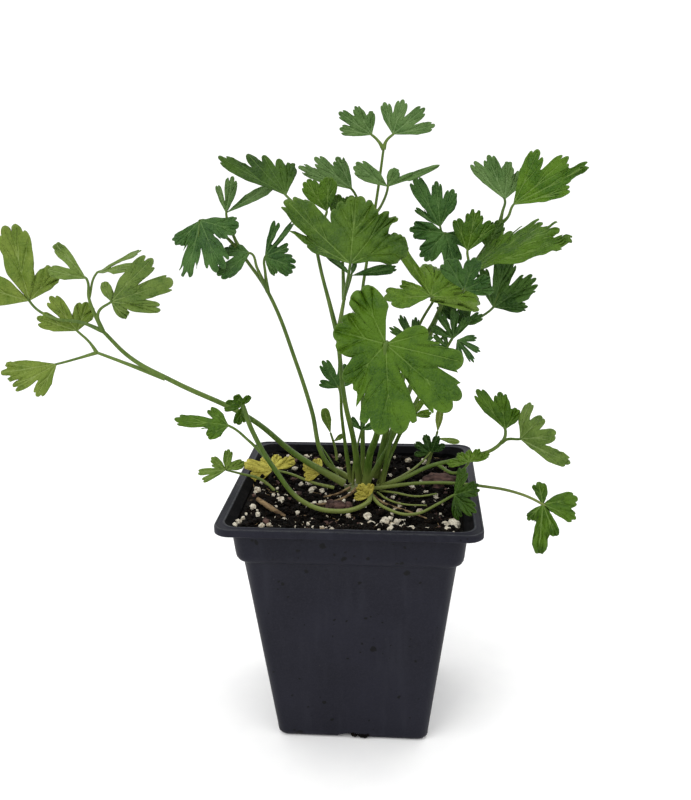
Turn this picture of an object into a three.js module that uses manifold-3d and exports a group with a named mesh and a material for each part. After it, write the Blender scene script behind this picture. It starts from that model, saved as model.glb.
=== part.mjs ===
// Potted parsley: a square nursery pot full of potting soil, with one crown of parsley in it.
// Millimetres, +Z up, origin at the middle of the pot's underside, -Y is the front.
import * as THREE from 'three';
import { mergeVertices } from 'three/addons/utils/BufferGeometryUtils.js';
import Module from 'manifold-3d';

const wasm = await Module();
wasm.setup();

// ---- driving dimensions -------------------------------------------------------------------
const RIM_WIDTH = 102; // a four-inch square nursery pot, across the flange
const POT_HEIGHT = 103.4;
const WALL = 1.2;
const FLANGE_THICKNESS = 3.1;
const LEDGE_WIDTH = 3.4; // the flat top of the flange
const BAND_HEIGHT = 17.6; // the wider band under the flange
const BAND_TOP_WIDTH = 91;
const BAND_FOOT_WIDTH = 88.8;
const SHOULDER_DROP = 3.6; // over which the band rounds in to the body
const BODY_TOP_WIDTH = 83.4;
const BODY_FOOT_WIDTH = 63.6;
const CORNER_RADIUS = 5;
const FLANGE_CORNER_RADIUS = 6;
const FOOT_FILLET = 4;
const DRAIN_WIDTH = 13;
const DRAIN_HEIGHT = 4;
const SOIL_DEPTH_BELOW_RIM = 8.4;
const CLEARANCE = 0.35; // between pieces that rest on or grow from each other
const CROWN_RADIUS = 9;
const CROWN_HEIGHT = 6.5;
const CROWN_CENTRE = [1, 13];
const DOME_STEPS = 5;
const DOME_SIDES = 14;
const BLADE_THICKNESS = 0.8;
const STALK_STEP = 8; // spacing of the stations along a stalk
const STALK_SIDES = 6;
const YOUNG_STALK = [0.7, 0.5]; // radius at the foot and at the end
const YOUNG_OVERLAP = 1.4; // how far a young blade reaches back over its stalk

const SOIL_TOP = POT_HEIGHT - SOIL_DEPTH_BELOW_RIM;

// ---- materials ----------------------------------------------------------------------------
function material(color, roughness) {
  return new THREE.MeshStandardMaterial({ color, roughness, metalness: 0 });
}

const potPlastic = () => material(0x2f3038, 0.55);
const soilMix = () => material(0x221a16, 0.95);
const crownFlesh = () => material(0x9aa367, 0.7);
const stalkGreen = () => material(0x6f8f3c, 0.5);
const youngGreen = () => material(0x7fa04a, 0.6);
const fadedYellow = () => material(0xc8b765, 0.7);

const bladeGreens = {
  fresh: () => material(0x4a7a2c, 0.55),
  dark: () => material(0x2f5a2c, 0.6),
  pale: () => material(0x7a9a48, 0.6),
};

// ---- solids -------------------------------------------------------------------------------
function toSolid(geometry) {
  const bare = geometry.clone();
  bare.deleteAttribute('normal');
  bare.deleteAttribute('uv');
  const merged = mergeVertices(bare, 1e-4);
  return new wasm.Manifold(new wasm.Mesh({
    numProp: 3,
    vertProperties: new Float32Array(merged.attributes.position.array),
    triVerts: new Uint32Array(merged.index.array),
  }));
}

function toGeometry(solid) {
  const mesh = solid.getMesh();
  const geometry = new THREE.BufferGeometry();
  geometry.setAttribute('position', new THREE.BufferAttribute(mesh.vertProperties, 3));
  geometry.setIndex(new THREE.BufferAttribute(mesh.triVerts, 1));
  geometry.computeVertexNormals();
  return geometry;
}

function indexedGeometry(points, triangles) {
  const geometry = new THREE.BufferGeometry();
  geometry.setFromPoints(points);
  geometry.setIndex(triangles);
  geometry.computeVertexNormals();
  return geometry;
}

// A ring of points round a square with rounded corners, anticlockwise seen from above.
function roundedSquare(width, radius, z) {
  const arcSteps = 4;
  const middle = width / 2 - radius;
  const ring = [];
  for (let corner = 0; corner < 4; corner += 1) {
    const start = corner * Math.PI / 2;
    const centre = new THREE.Vector2(middle, middle).rotateAround(new THREE.Vector2(), start);
    for (let step = 0; step <= arcSteps; step += 1) {
      const turn = start + step / arcSteps * Math.PI / 2;
      const x = centre.x + radius * Math.cos(turn);
      const y = centre.y + radius * Math.sin(turn);
      ring.push(new THREE.Vector3(x, y, z));
    }
  }
  return ring;
}

// Joins level rings into one skin and closes it with a fan at the first and at the last ring.
function stackRings(levels) {
  const rings = levels.map(([width, radius, z]) => roundedSquare(width, radius, z));
  const around = rings[0].length;
  const points = rings.flat();
  const triangles = [];
  for (let level = 0; level + 1 < rings.length; level += 1) {
    for (let i = 0; i < around; i += 1) {
      const a = level * around + i;
      const b = level * around + (i + 1) % around;
      triangles.push(a, b, b + around, a, b + around, a + around);
    }
  }
  const last = points.length - around;
  points.push(new THREE.Vector3(0, 0, levels[0][2]));
  points.push(new THREE.Vector3(0, 0, levels.at(-1)[2]));
  for (let i = 0; i < around; i += 1) {
    const next = (i + 1) % around;
    triangles.push(points.length - 2, next, i);
    triangles.push(points.length - 1, last + i, last + next);
  }
  return indexedGeometry(points, triangles);
}

// ---- pot and soil -------------------------------------------------------------------------
function potShell() {
  const bandFoot = POT_HEIGHT - BAND_HEIGHT;
  const flangeFoot = POT_HEIGHT - FLANGE_THICKNESS;
  const inside = 2 * WALL;
  const innerRadius = CORNER_RADIUS - WALL;
  return stackRings([
    [BODY_FOOT_WIDTH - 2 * FOOT_FILLET, CORNER_RADIUS - 3, 0],
    [BODY_FOOT_WIDTH - 0.6 * FOOT_FILLET, CORNER_RADIUS - 1, 0.3 * FOOT_FILLET],
    [BODY_FOOT_WIDTH + 0.5, CORNER_RADIUS, FOOT_FILLET],
    [BODY_TOP_WIDTH, CORNER_RADIUS, bandFoot - 0.4],
    [BODY_TOP_WIDTH + 2.6, CORNER_RADIUS + 0.5, bandFoot + 0.4],
    [BAND_FOOT_WIDTH - 0.8, CORNER_RADIUS + 0.8, bandFoot + SHOULDER_DROP / 2],
    [BAND_FOOT_WIDTH, CORNER_RADIUS + 1, bandFoot + SHOULDER_DROP],
    [BAND_TOP_WIDTH, CORNER_RADIUS + 1, flangeFoot],
    [RIM_WIDTH - 0.8, FLANGE_CORNER_RADIUS, flangeFoot],
    [RIM_WIDTH, FLANGE_CORNER_RADIUS, flangeFoot + 1],
    [RIM_WIDTH, FLANGE_CORNER_RADIUS, POT_HEIGHT - 0.6],
    [RIM_WIDTH - 1.4, FLANGE_CORNER_RADIUS - 0.5, POT_HEIGHT],
    [RIM_WIDTH - 2 * LEDGE_WIDTH, CORNER_RADIUS, POT_HEIGHT],
    [BAND_TOP_WIDTH - inside, innerRadius + 1, flangeFoot + 0.6],
    [BAND_FOOT_WIDTH - inside, innerRadius + 1, bandFoot + SHOULDER_DROP],
    [BODY_TOP_WIDTH - inside, innerRadius, bandFoot - 0.8],
    [BODY_FOOT_WIDTH + 0.5 - inside, innerRadius, FOOT_FILLET + 0.5],
    [BODY_FOOT_WIDTH - 2 * FOOT_FILLET, innerRadius - 2, 1.4 * WALL],
  ]);
}

// Four notches in the bottom edge let water out, one in the middle of each side.
function drainNotch(side) {
  const box = new THREE.BoxGeometry(DRAIN_WIDTH, 2 * FOOT_FILLET, 2 * DRAIN_HEIGHT);
  box.translate(0, -BODY_FOOT_WIDTH / 2, 0);
  box.rotateZ(side * Math.PI / 2);
  return toSolid(box);
}

function pot() {
  let solid = toSolid(potShell());
  for (let side = 0; side < 4; side += 1) {
    solid = solid.subtract(drainNotch(side));
  }
  return new THREE.Mesh(toGeometry(solid), potPlastic());
}

function pottingSoil() {
  const bandFoot = POT_HEIGHT - BAND_HEIGHT;
  const inset = 2 * (WALL + CLEARANCE);
  const radius = CORNER_RADIUS - WALL - CLEARANCE;
  const topWidth = BAND_FOOT_WIDTH - inset - 0.4;
  const geometry = stackRings([
    [BODY_FOOT_WIDTH - 2 * FOOT_FILLET - 1, radius - 2, 1.4 * WALL + CLEARANCE],
    [BODY_FOOT_WIDTH - inset, radius, FOOT_FILLET + 1],
    [BODY_TOP_WIDTH - inset - 0.2, radius, bandFoot - 1.4],
    [topWidth, radius + 1, bandFoot + SHOULDER_DROP + 0.5],
    [topWidth, radius + 1, SOIL_TOP - 1],
    [topWidth - 2, radius, SOIL_TOP],
  ]);
  return new THREE.Mesh(geometry, soilMix());
}

// ---- crown --------------------------------------------------------------------------------
// The short domed stock, half out of the soil, that every leaf stalk grows from.
function crownDome(growth) {
  const radius = CROWN_RADIUS + growth;
  const height = CROWN_HEIGHT + growth;
  const profile = [new THREE.Vector2(0, -growth), new THREE.Vector2(radius, -growth)];
  for (let step = 1; step < DOME_STEPS; step += 1) {
    const turn = step / DOME_STEPS * Math.PI / 2;
    profile.push(new THREE.Vector2(radius * Math.cos(turn), height * Math.sin(turn)));
  }
  profile.push(new THREE.Vector2(0, height));
  const dome = new THREE.LatheGeometry(profile, DOME_SIDES);
  dome.rotateX(Math.PI / 2);
  dome.translate(CROWN_CENTRE[0], CROWN_CENTRE[1], SOIL_TOP + CLEARANCE);
  return dome;
}

function rootCrown() {
  return new THREE.Mesh(toGeometry(toSolid(crownDome(0))), crownFlesh());
}

const crownSpace = toSolid(crownDome(CLEARANCE));

// ---- stalks -------------------------------------------------------------------------------
function regularSection(radius) {
  const section = new THREE.Shape();
  for (let side = 0; side < STALK_SIDES; side += 1) {
    const turn = side / STALK_SIDES * 2 * Math.PI;
    const x = radius * Math.cos(turn);
    const y = radius * Math.sin(turn);
    if (side === 0) section.moveTo(x, y);
    else section.lineTo(x, y);
  }
  section.closePath();
  return section;
}

// A tube along the points that narrows evenly from one radius to the other.
function taperedTube(points, footRadius, endRadius) {
  const curve = new THREE.CatmullRomCurve3(points.map((p) => new THREE.Vector3(...p)));
  const steps = Math.max(2, Math.round(curve.getLength() / STALK_STEP));
  const stations = curve.getSpacedPoints(steps);
  const tube = new THREE.ExtrudeGeometry(regularSection(footRadius), {
    steps,
    extrudePath: curve,
    bevelEnabled: false,
    curveSegments: 1,
  });
  const position = tube.attributes.position;
  const vertex = new THREE.Vector3();
  for (let i = 0; i < position.count; i += 1) {
    vertex.fromBufferAttribute(position, i);
    const gaps = stations.map((station) => station.distanceTo(vertex));
    const nearest = gaps.indexOf(Math.min(...gaps));
    const radius = THREE.MathUtils.lerp(footRadius, endRadius, nearest / steps);
    vertex.sub(stations[nearest]).multiplyScalar(radius / footRadius).add(stations[nearest]);
    position.setXYZ(i, vertex.x, vertex.y, vertex.z);
  }
  return toSolid(tube);
}

// Every stem is one solid: a main stalk first, then the side stalks that fork off it.
function stem(runs) {
  let solid = null;
  for (const { path, radii } of runs) {
    const tube = taperedTube(path, radii[0], radii[1]);
    solid = solid ? solid.add(tube) : tube;
  }
  return new THREE.Mesh(toGeometry(solid.subtract(crownSpace)), stalkGreen());
}

// ---- leaf blades --------------------------------------------------------------------------
// Half outlines, from the edge beside the stalk round to the middle tip:
// the angle from the middle line in degrees, then the reach as a share of the blade's length.
const FORMS = {
  broad: [[112, 0.28], [84, 0.66], [60, 0.86], [42, 0.7], [28, 0.68], [14, 0.92], [0, 1]],
  parted: [[104, 0.3], [80, 0.8], [62, 0.95], [44, 0.5], [28, 0.32], [12, 0.85], [0, 1]],
  wedge: [[58, 0.25], [42, 0.62], [30, 0.84], [21, 0.84], [13, 0.8], [6, 0.95], [0, 1]],
  round: [[128, 0.6], [106, 0.92], [82, 0.98], [60, 0.8], [42, 0.74], [22, 0.94], [0, 1]],
};

// One blade: fan-shaped from just beyond the end of its stalk, and arched along its length.
function bladeSolid({ base, tip, faces, width, form, arch = 0 }) {
  const along = new THREE.Vector3(...tip).sub(new THREE.Vector3(...base));
  const length = along.length();
  along.normalize();
  const up = new THREE.Vector3(...faces).projectOnPlane(along).normalize();
  const across = new THREE.Vector3().crossVectors(up, along);
  const half = FORMS[form];
  const outline = [...half.map(([turn, reach]) => [-turn, reach]),
    ...half.slice(0, -1).reverse()].map(([turn, reach]) => [THREE.MathUtils.degToRad(turn), reach]);
  const widest = Math.max(...outline.map(([turn, reach]) => reach * Math.sin(turn)));
  const start = new THREE.Vector3(...base).addScaledVector(along, BLADE_THICKNESS)
    .addScaledVector(up, BLADE_THICKNESS);
  const place = (forward, sideways, side) => {
    const share = forward / length;
    const height = 4 * arch * share * (1 - share);
    return start.clone().addScaledVector(along, forward).addScaledVector(across, sideways)
      .addScaledVector(up, height + side * BLADE_THICKNESS / 2);
  };
  const columns = outline.length;
  const points = [];
  for (const side of [1, -1]) {
    points.push(place(0, 0, side));
    for (const share of [0.55, 1]) {
      for (const [turn, reach] of outline) {
        const forward = share * reach * Math.cos(turn) * (length - 1);
        const sideways = share * reach * Math.sin(turn) / widest * width / 2;
        points.push(place(forward, sideways, side));
      }
    }
  }
  return toSolid(indexedGeometry(points, fanTriangles(columns)));
}

// The triangles of a fan with an inner and an outer ring, on both faces and round the edge.
function fanTriangles(columns) {
  const under = 1 + 2 * columns;
  const triangles = [];
  const quad = (a, b, c, d) => triangles.push(a, b, c, a, c, d);
  for (let i = 0; i + 1 < columns; i += 1) {
    const inner = 1 + i;
    const outer = inner + columns;
    triangles.push(0, inner, inner + 1);
    triangles.push(under, under + inner + 1, under + inner);
    quad(inner, outer, outer + 1, inner + 1);
    quad(under + inner, under + inner + 1, under + outer + 1, under + outer);
    quad(outer, under + outer, under + outer + 1, outer + 1);
  }
  const firstInner = 1;
  const firstOuter = 1 + columns;
  const lastInner = columns;
  const lastOuter = 2 * columns;
  quad(0, under, under + firstInner, firstInner);
  quad(firstInner, under + firstInner, under + firstOuter, firstOuter);
  quad(under, 0, lastInner, under + lastInner);
  quad(under + lastInner, lastInner, lastOuter, under + lastOuter);
  return triangles;
}

function blade(shape, tone) {
  return new THREE.Mesh(toGeometry(bladeSolid(shape)), bladeGreens[tone]());
}

// A seedling is small enough for its stalks and blades to be one solid.
function seedling(stalks, blades, colour) {
  let solid = null;
  for (const path of stalks) {
    const tube = taperedTube(path, ...YOUNG_STALK);
    solid = solid ? solid.add(tube) : tube;
  }
  for (const shape of blades) {
    const end = new THREE.Vector3(...shape.base);
    const back = new THREE.Vector3(...shape.tip).sub(end).normalize().multiplyScalar(-YOUNG_OVERLAP);
    const up = new THREE.Vector3(...shape.faces).normalize().multiplyScalar(-BLADE_THICKNESS);
    solid = solid.add(bladeSolid({ ...shape, base: end.add(back).add(up).toArray() }));
  }
  return new THREE.Mesh(toGeometry(solid), colour());
}

// ---- the plant, frond by frond ------------------------------------------------------------
// Paths run from the crown outwards. A blade's faces gives the way that its upper side looks.
const FRONDS = {
  far_left: {
    tone: 'pale',
    stem: [
      {
        radii: [1.3, 0.9],
        path: [[-6, 12, 98], [-25, 9, 111], [-44, 0, 131], [-74, -10, 150], [-89, -13, 160],
          [-99, -14, 171]],
      },
      { radii: [0.7, 0.5], path: [[-99, -14, 171], [-107, -13, 174], [-122, -10, 176], [-130, -8, 181]] },
      { radii: [0.7, 0.5], path: [[-99, -14, 171], [-103, -15, 184], [-102, -14, 192]] },
      { radii: [0.7, 0.5], path: [[-99, -14, 171], [-100, -15, 178], [-95, -17, 183]] },
      { radii: [0.8, 0.6], path: [[-76, -11, 151], [-94, -11, 158], [-104, -9, 161]] },
      { radii: [0.6, 0.5], path: [[-104, -9, 161], [-107, -8, 165], [-111, -8, 169]] },
      { radii: [0.6, 0.5], path: [[-104, -9, 161], [-113, -7, 158], [-122, -6, 157]] },
    ],
    blades: [
      {
        base: [-130, -8, 181], tip: [-137, -5, 210], faces: [0.2, -1, 0.2],
        width: 26, form: 'parted', arch: 2,
      },
      {
        base: [-103, -14, 193], tip: [-119, -10, 200], faces: [-0.3, -0.8, 0.6],
        width: 14, form: 'broad', arch: 2,
      },
      {
        base: [-101, -11, 193], tip: [-82, -4, 201], faces: [-0.3, -0.4, 1],
        width: 14, form: 'wedge', arch: 2,
      },
      {
        base: [-94, -17, 183], tip: [-70, -20, 198], faces: [0, -1, 0.15],
        width: 25, form: 'broad', arch: 3,
      },
      {
        base: [-111, -8, 169], tip: [-126, -4, 181], faces: [0.3, -1, 0.3],
        width: 22, form: 'parted', arch: 2,
      },
      {
        base: [-123, -6, 157], tip: [-142, -10, 147], faces: [0.2, -1, 0.6],
        width: 20, form: 'parted', arch: 2,
      },
    ],
  },
  upper_left: {
    tone: 'dark',
    stem: [
      {
        radii: [1.4, 1],
        path: [[-5, 17, 99], [-14, 13, 108], [-20, 15, 131], [-26, 17, 150], [-38, 20, 181],
          [-48, 21, 196]],
      },
      { radii: [0.8, 0.5], path: [[-48, 21, 196], [-52, 22, 204], [-55, 22, 212]] },
      { radii: [0.7, 0.5], path: [[-48, 21, 196], [-57, 23, 205], [-64, 22, 211]] },
      { radii: [0.7, 0.5], path: [[-38, 20, 181], [-42, 19, 191], [-43, 18, 197]] },
      { radii: [0.7, 0.5], path: [[-38, 20, 181], [-39, 21, 189], [-40, 21, 196]] },
    ],
    blades: [
      {
        base: [-64, 21, 210], tip: [-69, 11, 187], faces: [-0.1, -1, 0.5],
        width: 24, form: 'broad', arch: 3,
      },
      {
        base: [-44, 17, 197], tip: [-58, 12, 188], faces: [-0.3, -0.8, 0.8],
        width: 15, form: 'broad', arch: 2,
      },
      {
        base: [-39, 20, 198], tip: [-22, 15, 203], faces: [0.1, -1, 0.3],
        width: 23, form: 'broad', arch: 2,
      },
      {
        base: [-55, 22, 213], tip: [-48, 20, 229], faces: [0, -1, 0.3],
        width: 25, form: 'broad', arch: 2,
      },
    ],
  },
  centre_front: {
    tone: 'fresh',
    stem: [
      { radii: [1.6, 1.2], path: [[1, 9, 100], [-1, 2, 122], [-4, -3, 140], [-6, -10, 169]] },
      { radii: [1, 0.7], path: [[-6, -10, 169], [-3, -15, 184], [0, -22, 197]] },
      { radii: [1, 0.6], path: [[-6, -10, 169], [-11, -9, 189], [-19, -4, 215], [-25, 0, 221]] },
      { radii: [0.7, 0.5], path: [[-15.6, -6, 204], [-14, -3, 210], [-12, 0, 215]] },
      { radii: [0.7, 0.5], path: [[-3, -14, 184], [-4, -6, 198], [-4, 4, 209]] },
    ],
    blades: [
      {
        base: [0, -22, 198], tip: [3, -2, 222], faces: [0, -0.8, 0.8],
        width: 48, form: 'broad', arch: 3,
      },
      {
        base: [-26, 1, 221], tip: [-43, 9, 237], faces: [0, -0.8, 0.9],
        width: 30, form: 'broad', arch: 2,
      },
      { base: [-12, 0, 216], tip: [-11, 2, 229], faces: [0, -1, 0.4], width: 16, form: 'broad', arch: 1 },
      { base: [-4, 4, 210], tip: [-5, 7, 223], faces: [0, -1, 0.4], width: 15, form: 'broad', arch: 1 },
      { base: [1, -24, 193], tip: [5, -50, 193], faces: [0, 0.1, 1], width: 34, form: 'broad', arch: 3 },
    ],
  },
  tall: {
    tone: 'fresh',
    stem: [
      {
        radii: [1, 0.8],
        path: [[2, 19, 100], [2, 20, 150], [2, 20, 180], [4, 20, 194], [9, 17, 225],
          [11, 15, 239]],
      },
      { radii: [0.7, 0.5], path: [[11, 15, 239], [9, 15, 242], [7, 15, 244]] },
      { radii: [0.7, 0.5], path: [[11, 15, 239], [12, 15, 242], [14, 15, 244]] },
      { radii: [0.6, 0.5], path: [[5, 19, 202], [2, 17, 212], [-1, 16, 222]] },
      { radii: [0.6, 0.5], path: [[6, 18, 212], [10, 13, 217], [13, 9, 223]] },
    ],
    blades: [
      { base: [7, 15, 244], tip: [-7, 12, 252], faces: [0, -1, 0.3], width: 16, form: 'broad', arch: 1 },
      { base: [14, 15, 244], tip: [28, 15, 254], faces: [0, -1, 0.3], width: 17, form: 'broad', arch: 1 },
      {
        base: [-1, 16, 223], tip: [-23, 12, 233], faces: [0, -1, 0.4],
        width: 17, form: 'wedge', arch: 2,
      },
      { base: [13, 8, 224], tip: [12, 10, 238], faces: [0, -1, 0.4], width: 34, form: 'round', arch: 1 },
    ],
  },
  big_front: {
    tone: 'fresh',
    stem: [
      {
        radii: [1.9, 1.2],
        path: [[4, 6, 99], [6, 0, 116], [9, -6, 126], [11, -14, 138], [13, -28, 158],
          [14, -37, 173]],
      },
    ],
    blades: [
      {
        base: [14, -38, 173], tip: [10, -44, 141], faces: [0, -1, 0.2],
        width: 50, form: 'round', arch: 3,
      },
    ],
  },
  upper_right: {
    tone: 'fresh',
    stem: [
      {
        radii: [1.5, 0.9],
        path: [[7, 20, 99], [27, 22, 151], [37, 22, 178], [49, 21, 194], [58, 20, 209]],
      },
      { radii: [0.7, 0.5], path: [[58, 20, 209], [59, 20, 214], [59, 20, 218]] },
      { radii: [0.7, 0.5], path: [[58, 20, 209], [61, 18, 212], [64, 17, 215]] },
    ],
    blades: [
      { base: [58, 22, 218], tip: [49, 28, 236], faces: [0, -1, 0.3], width: 20, form: 'broad', arch: 1 },
      {
        base: [65, 16, 216], tip: [82, 14, 237], faces: [0.1, -0.8, 0.8],
        width: 27, form: 'broad', arch: 2,
      },
    ],
  },
  right: {
    tone: 'dark',
    stem: [
      {
        radii: [1.5, 0.9],
        path: [[8, 15, 100], [14, 13, 128], [22, 11, 154], [31, 9, 169], [36, 8, 180],
          [43, 5, 191]],
      },
      {
        radii: [0.8, 0.5],
        path: [[19, 12, 146], [26, 15, 168], [34, 16, 183], [37, 14, 196], [34, 12, 207]],
      },
      { radii: [0.6, 0.5], path: [[43, 5, 191], [45, 5, 195], [46, 6, 199]] },
      { radii: [0.6, 0.5], path: [[43, 5, 191], [48, 9, 195], [53, 13, 199]] },
      { radii: [0.6, 0.5], path: [[36, 8, 180], [34, 3, 182], [32, -1, 183]] },
      { radii: [0.6, 0.5], path: [[38, 7, 183], [41, 1, 184], [43, -5, 186]] },
    ],
    blades: [
      {
        base: [44, 4, 191], tip: [83, -3, 207], faces: [-0.2, -0.5, 1],
        width: 18, form: 'wedge', arch: 3,
      },
      { base: [46, 6, 200], tip: [45, 9, 216], faces: [0, -1, 0.3], width: 15, form: 'broad', arch: 1 },
      { base: [54, 13, 200], tip: [56, 18, 211], faces: [0, -1, 0.3], width: 15, form: 'broad', arch: 1 },
      { base: [34, 12, 208], tip: [30, 16, 229], faces: [0, -1, 0.3], width: 21, form: 'broad', arch: 2 },
      {
        base: [37, 9, 194], tip: [32, 10, 207], faces: [0, -0.8, 0.8],
        width: 22, form: 'broad', arch: 1,
      },
      {
        base: [31, -2, 183], tip: [9, -9, 184], faces: [0, -0.8, 0.7],
        width: 20, form: 'wedge', arch: 3,
      },
      {
        base: [43, -6, 186], tip: [43, -9, 201], faces: [0.1, -1, 0.2],
        width: 22, form: 'broad', arch: 2,
      },
    ],
  },
  mid_right: {
    tone: 'dark',
    stem: [
      {
        radii: [1.1, 0.7],
        path: [[5, 10.5, 100], [17, 10, 124], [24, 12, 145], [32, 14, 160], [40, 15, 165],
          [55, 15, 174]],
      },
      { radii: [0.6, 0.5], path: [[40, 15, 165], [42, 14, 166], [44, 13, 168]] },
    ],
    blades: [
      {
        base: [56, 15, 175], tip: [64, 17, 197], faces: [0, -1, 0.3],
        width: 26, form: 'parted', arch: 2,
      },
      { base: [44, 12, 168], tip: [47, 12, 179], faces: [0, -1, 0.3], width: 13, form: 'broad', arch: 1 },
    ],
  },
  inner: {
    tone: 'dark',
    stem: [
      { radii: [1, 0.7], path: [[-3, 12, 99], [-5, 8, 118], [-6, 4, 132], [-7, 1, 143]] },
    ],
    blades: [
      {
        base: [-8, 0, 144], tip: [-15, 1, 158], faces: [0.2, -1, 0.3],
        width: 17, form: 'broad', arch: 1,
      },
    ],
  },
  low_right: {
    tone: 'fresh',
    stem: [
      { radii: [1.4, 1], path: [[9, 11, 97], [19, 5, 103], [31, 3, 110], [44, 0, 115], [60, -5, 124]] },
      { radii: [0.6, 0.5], path: [[34, 3, 111], [42, -4, 110], [47, -6, 111]] },
      { radii: [0.7, 0.5], path: [[60, -5, 124], [62, -7, 126], [65, -9, 127]] },
    ],
    blades: [
      { base: [58, -2, 129], tip: [54, 3, 148], faces: [0, -1, 0.3], width: 19, form: 'broad', arch: 1 },
      {
        base: [66, -10, 127], tip: [83, -17, 130], faces: [0.2, -0.8, 0.8],
        width: 29, form: 'broad', arch: 2,
      },
      { base: [47, -7, 111], tip: [45, -5, 121], faces: [0, -1, 0.2], width: 15, form: 'broad', arch: 1 },
    ],
  },
  drooping_right: {
    tone: 'fresh',
    stem: [
      {
        radii: [1.2, 0.8],
        path: [[8, 7, 98], [31, -3, 105], [52, -8, 106], [68, -11, 104], [75, -13, 101]],
      },
    ],
    blades: [
      {
        base: [76, -13, 101], tip: [88, -17, 91], faces: [0.3, -0.8, 0.6],
        width: 28, form: 'parted', arch: 2,
      },
    ],
  },
  rim_right: {
    tone: 'fresh',
    stem: [
      {
        radii: [0.9, 0.6],
        path: [[5, 4, 97], [14, -13, 97], [25, -21, 98.5], [35, -22, 104], [40, -23, 107]],
      },
    ],
    blades: [
      {
        base: [41, -24, 107], tip: [50, -27, 114], faces: [-0.2, -0.9, 0.6],
        width: 14, form: 'broad', arch: 1,
      },
    ],
  },
  front_loop: {
    tone: 'fresh',
    stem: [
      {
        radii: [1.5, 1],
        path: [[0, 5, 97.4], [-2, -6, 97.2], [-9, -13, 97.2], [-22, -17, 102], [-31, -20, 116],
          [-39, -24, 134], [-42, -25, 143]],
      },
      { radii: [0.6, 0.5], path: [[-33, -21, 120], [-41, -20, 128], [-47, -20, 134]] },
    ],
    blades: [
      {
        base: [-43, -26, 144], tip: [-45, -29, 152], faces: [0, -1, 0.4],
        width: 13, form: 'broad', arch: 1,
      },
      {
        base: [-48, -20, 134], tip: [-72, -16, 136], faces: [0, -0.8, 0.8],
        width: 16, form: 'wedge', arch: 2,
      },
    ],
  },
};

const SEEDLINGS = {
  seedling_left: {
    colour: youngGreen,
    stalks: [[[-36, 1, 95.9], [-41, 0, 103.6], [-47, -1, 105.6], [-52, -2, 108]]],
    blades: [{
      base: [-52, -2, 108], tip: [-56, -1, 119], faces: [0, -1, 0.4],
      width: 20, form: 'parted',
    }],
  },
  seedling_back_left: {
    colour: youngGreen,
    stalks: [[[-15, 37, 95.9], [-16, 38, 105], [-16, 38, 113]]],
    blades: [{ base: [-16, 38, 113], tip: [-17, 40, 124], faces: [0, -1, 0.3], width: 8, form: 'wedge' }],
  },
  seedling_back_right: {
    colour: youngGreen,
    stalks: [
      [[30, 33, 95.9], [33, 34, 107], [34, 35, 115]],
      [[30, 33, 98], [27, 32, 104], [26, 31, 108]],
    ],
    blades: [
      { base: [34, 35, 115], tip: [34, 36, 124], faces: [0, -1, 0.3], width: 12, form: 'broad' },
      { base: [26, 31, 108], tip: [28, 31, 118], faces: [0, -1, 0.3], width: 8, form: 'wedge' },
    ],
  },
  faded_leaf: {
    colour: fadedYellow,
    stalks: [[[-10, 9, 97], [-18, 11, 97.6], [-26, 12, 101.6], [-31, 12, 104]]],
    blades: [{
      base: [-31, 12, 104], tip: [-50, 11, 106], faces: [0, -0.4, 1],
      width: 13, form: 'wedge',
    }],
  },
};

function named(name, mesh) {
  mesh.name = name;
  return mesh;
}

const pottedParsley = new THREE.Group();
pottedParsley.add(named('pot', pot()));
pottedParsley.add(named('potting_soil', pottingSoil()));
pottedParsley.add(named('root_crown', rootCrown()));
for (const [name, frond] of Object.entries(FRONDS)) {
  const whole = new THREE.Group();
  whole.add(named(`stem_${name}`, stem(frond.stem)));
  frond.blades.forEach((shape, i) => {
    whole.add(named(`leaf_${name}_${i + 1}`, blade(shape, frond.tone)));
  });
  pottedParsley.add(whole);
}
for (const [name, { stalks, blades, colour }] of Object.entries(SEEDLINGS)) {
  pottedParsley.add(named(name, seedling(stalks, blades, colour)));
}

export default pottedParsley;
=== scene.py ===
"""Potted parsley in a square nursery pot. Metres, +Z up; the origin is under the pot's middle."""
import math
import random

import bmesh
import bpy
from mathutils import Matrix, Vector, noise


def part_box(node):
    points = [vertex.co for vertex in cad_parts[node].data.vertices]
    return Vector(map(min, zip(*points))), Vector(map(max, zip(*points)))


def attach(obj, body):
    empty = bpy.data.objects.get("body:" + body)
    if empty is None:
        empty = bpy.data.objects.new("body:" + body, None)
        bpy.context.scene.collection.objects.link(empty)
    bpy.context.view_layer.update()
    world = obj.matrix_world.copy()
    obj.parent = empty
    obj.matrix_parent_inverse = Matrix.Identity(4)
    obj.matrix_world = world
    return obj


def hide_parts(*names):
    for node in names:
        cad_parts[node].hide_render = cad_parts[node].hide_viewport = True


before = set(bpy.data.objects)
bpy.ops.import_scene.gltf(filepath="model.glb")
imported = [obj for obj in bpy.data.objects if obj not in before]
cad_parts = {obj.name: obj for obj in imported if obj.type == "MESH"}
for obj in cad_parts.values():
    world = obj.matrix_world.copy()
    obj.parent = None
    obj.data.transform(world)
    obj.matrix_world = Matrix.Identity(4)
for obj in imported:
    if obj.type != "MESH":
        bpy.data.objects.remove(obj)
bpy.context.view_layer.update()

MM = 0.001

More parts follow.
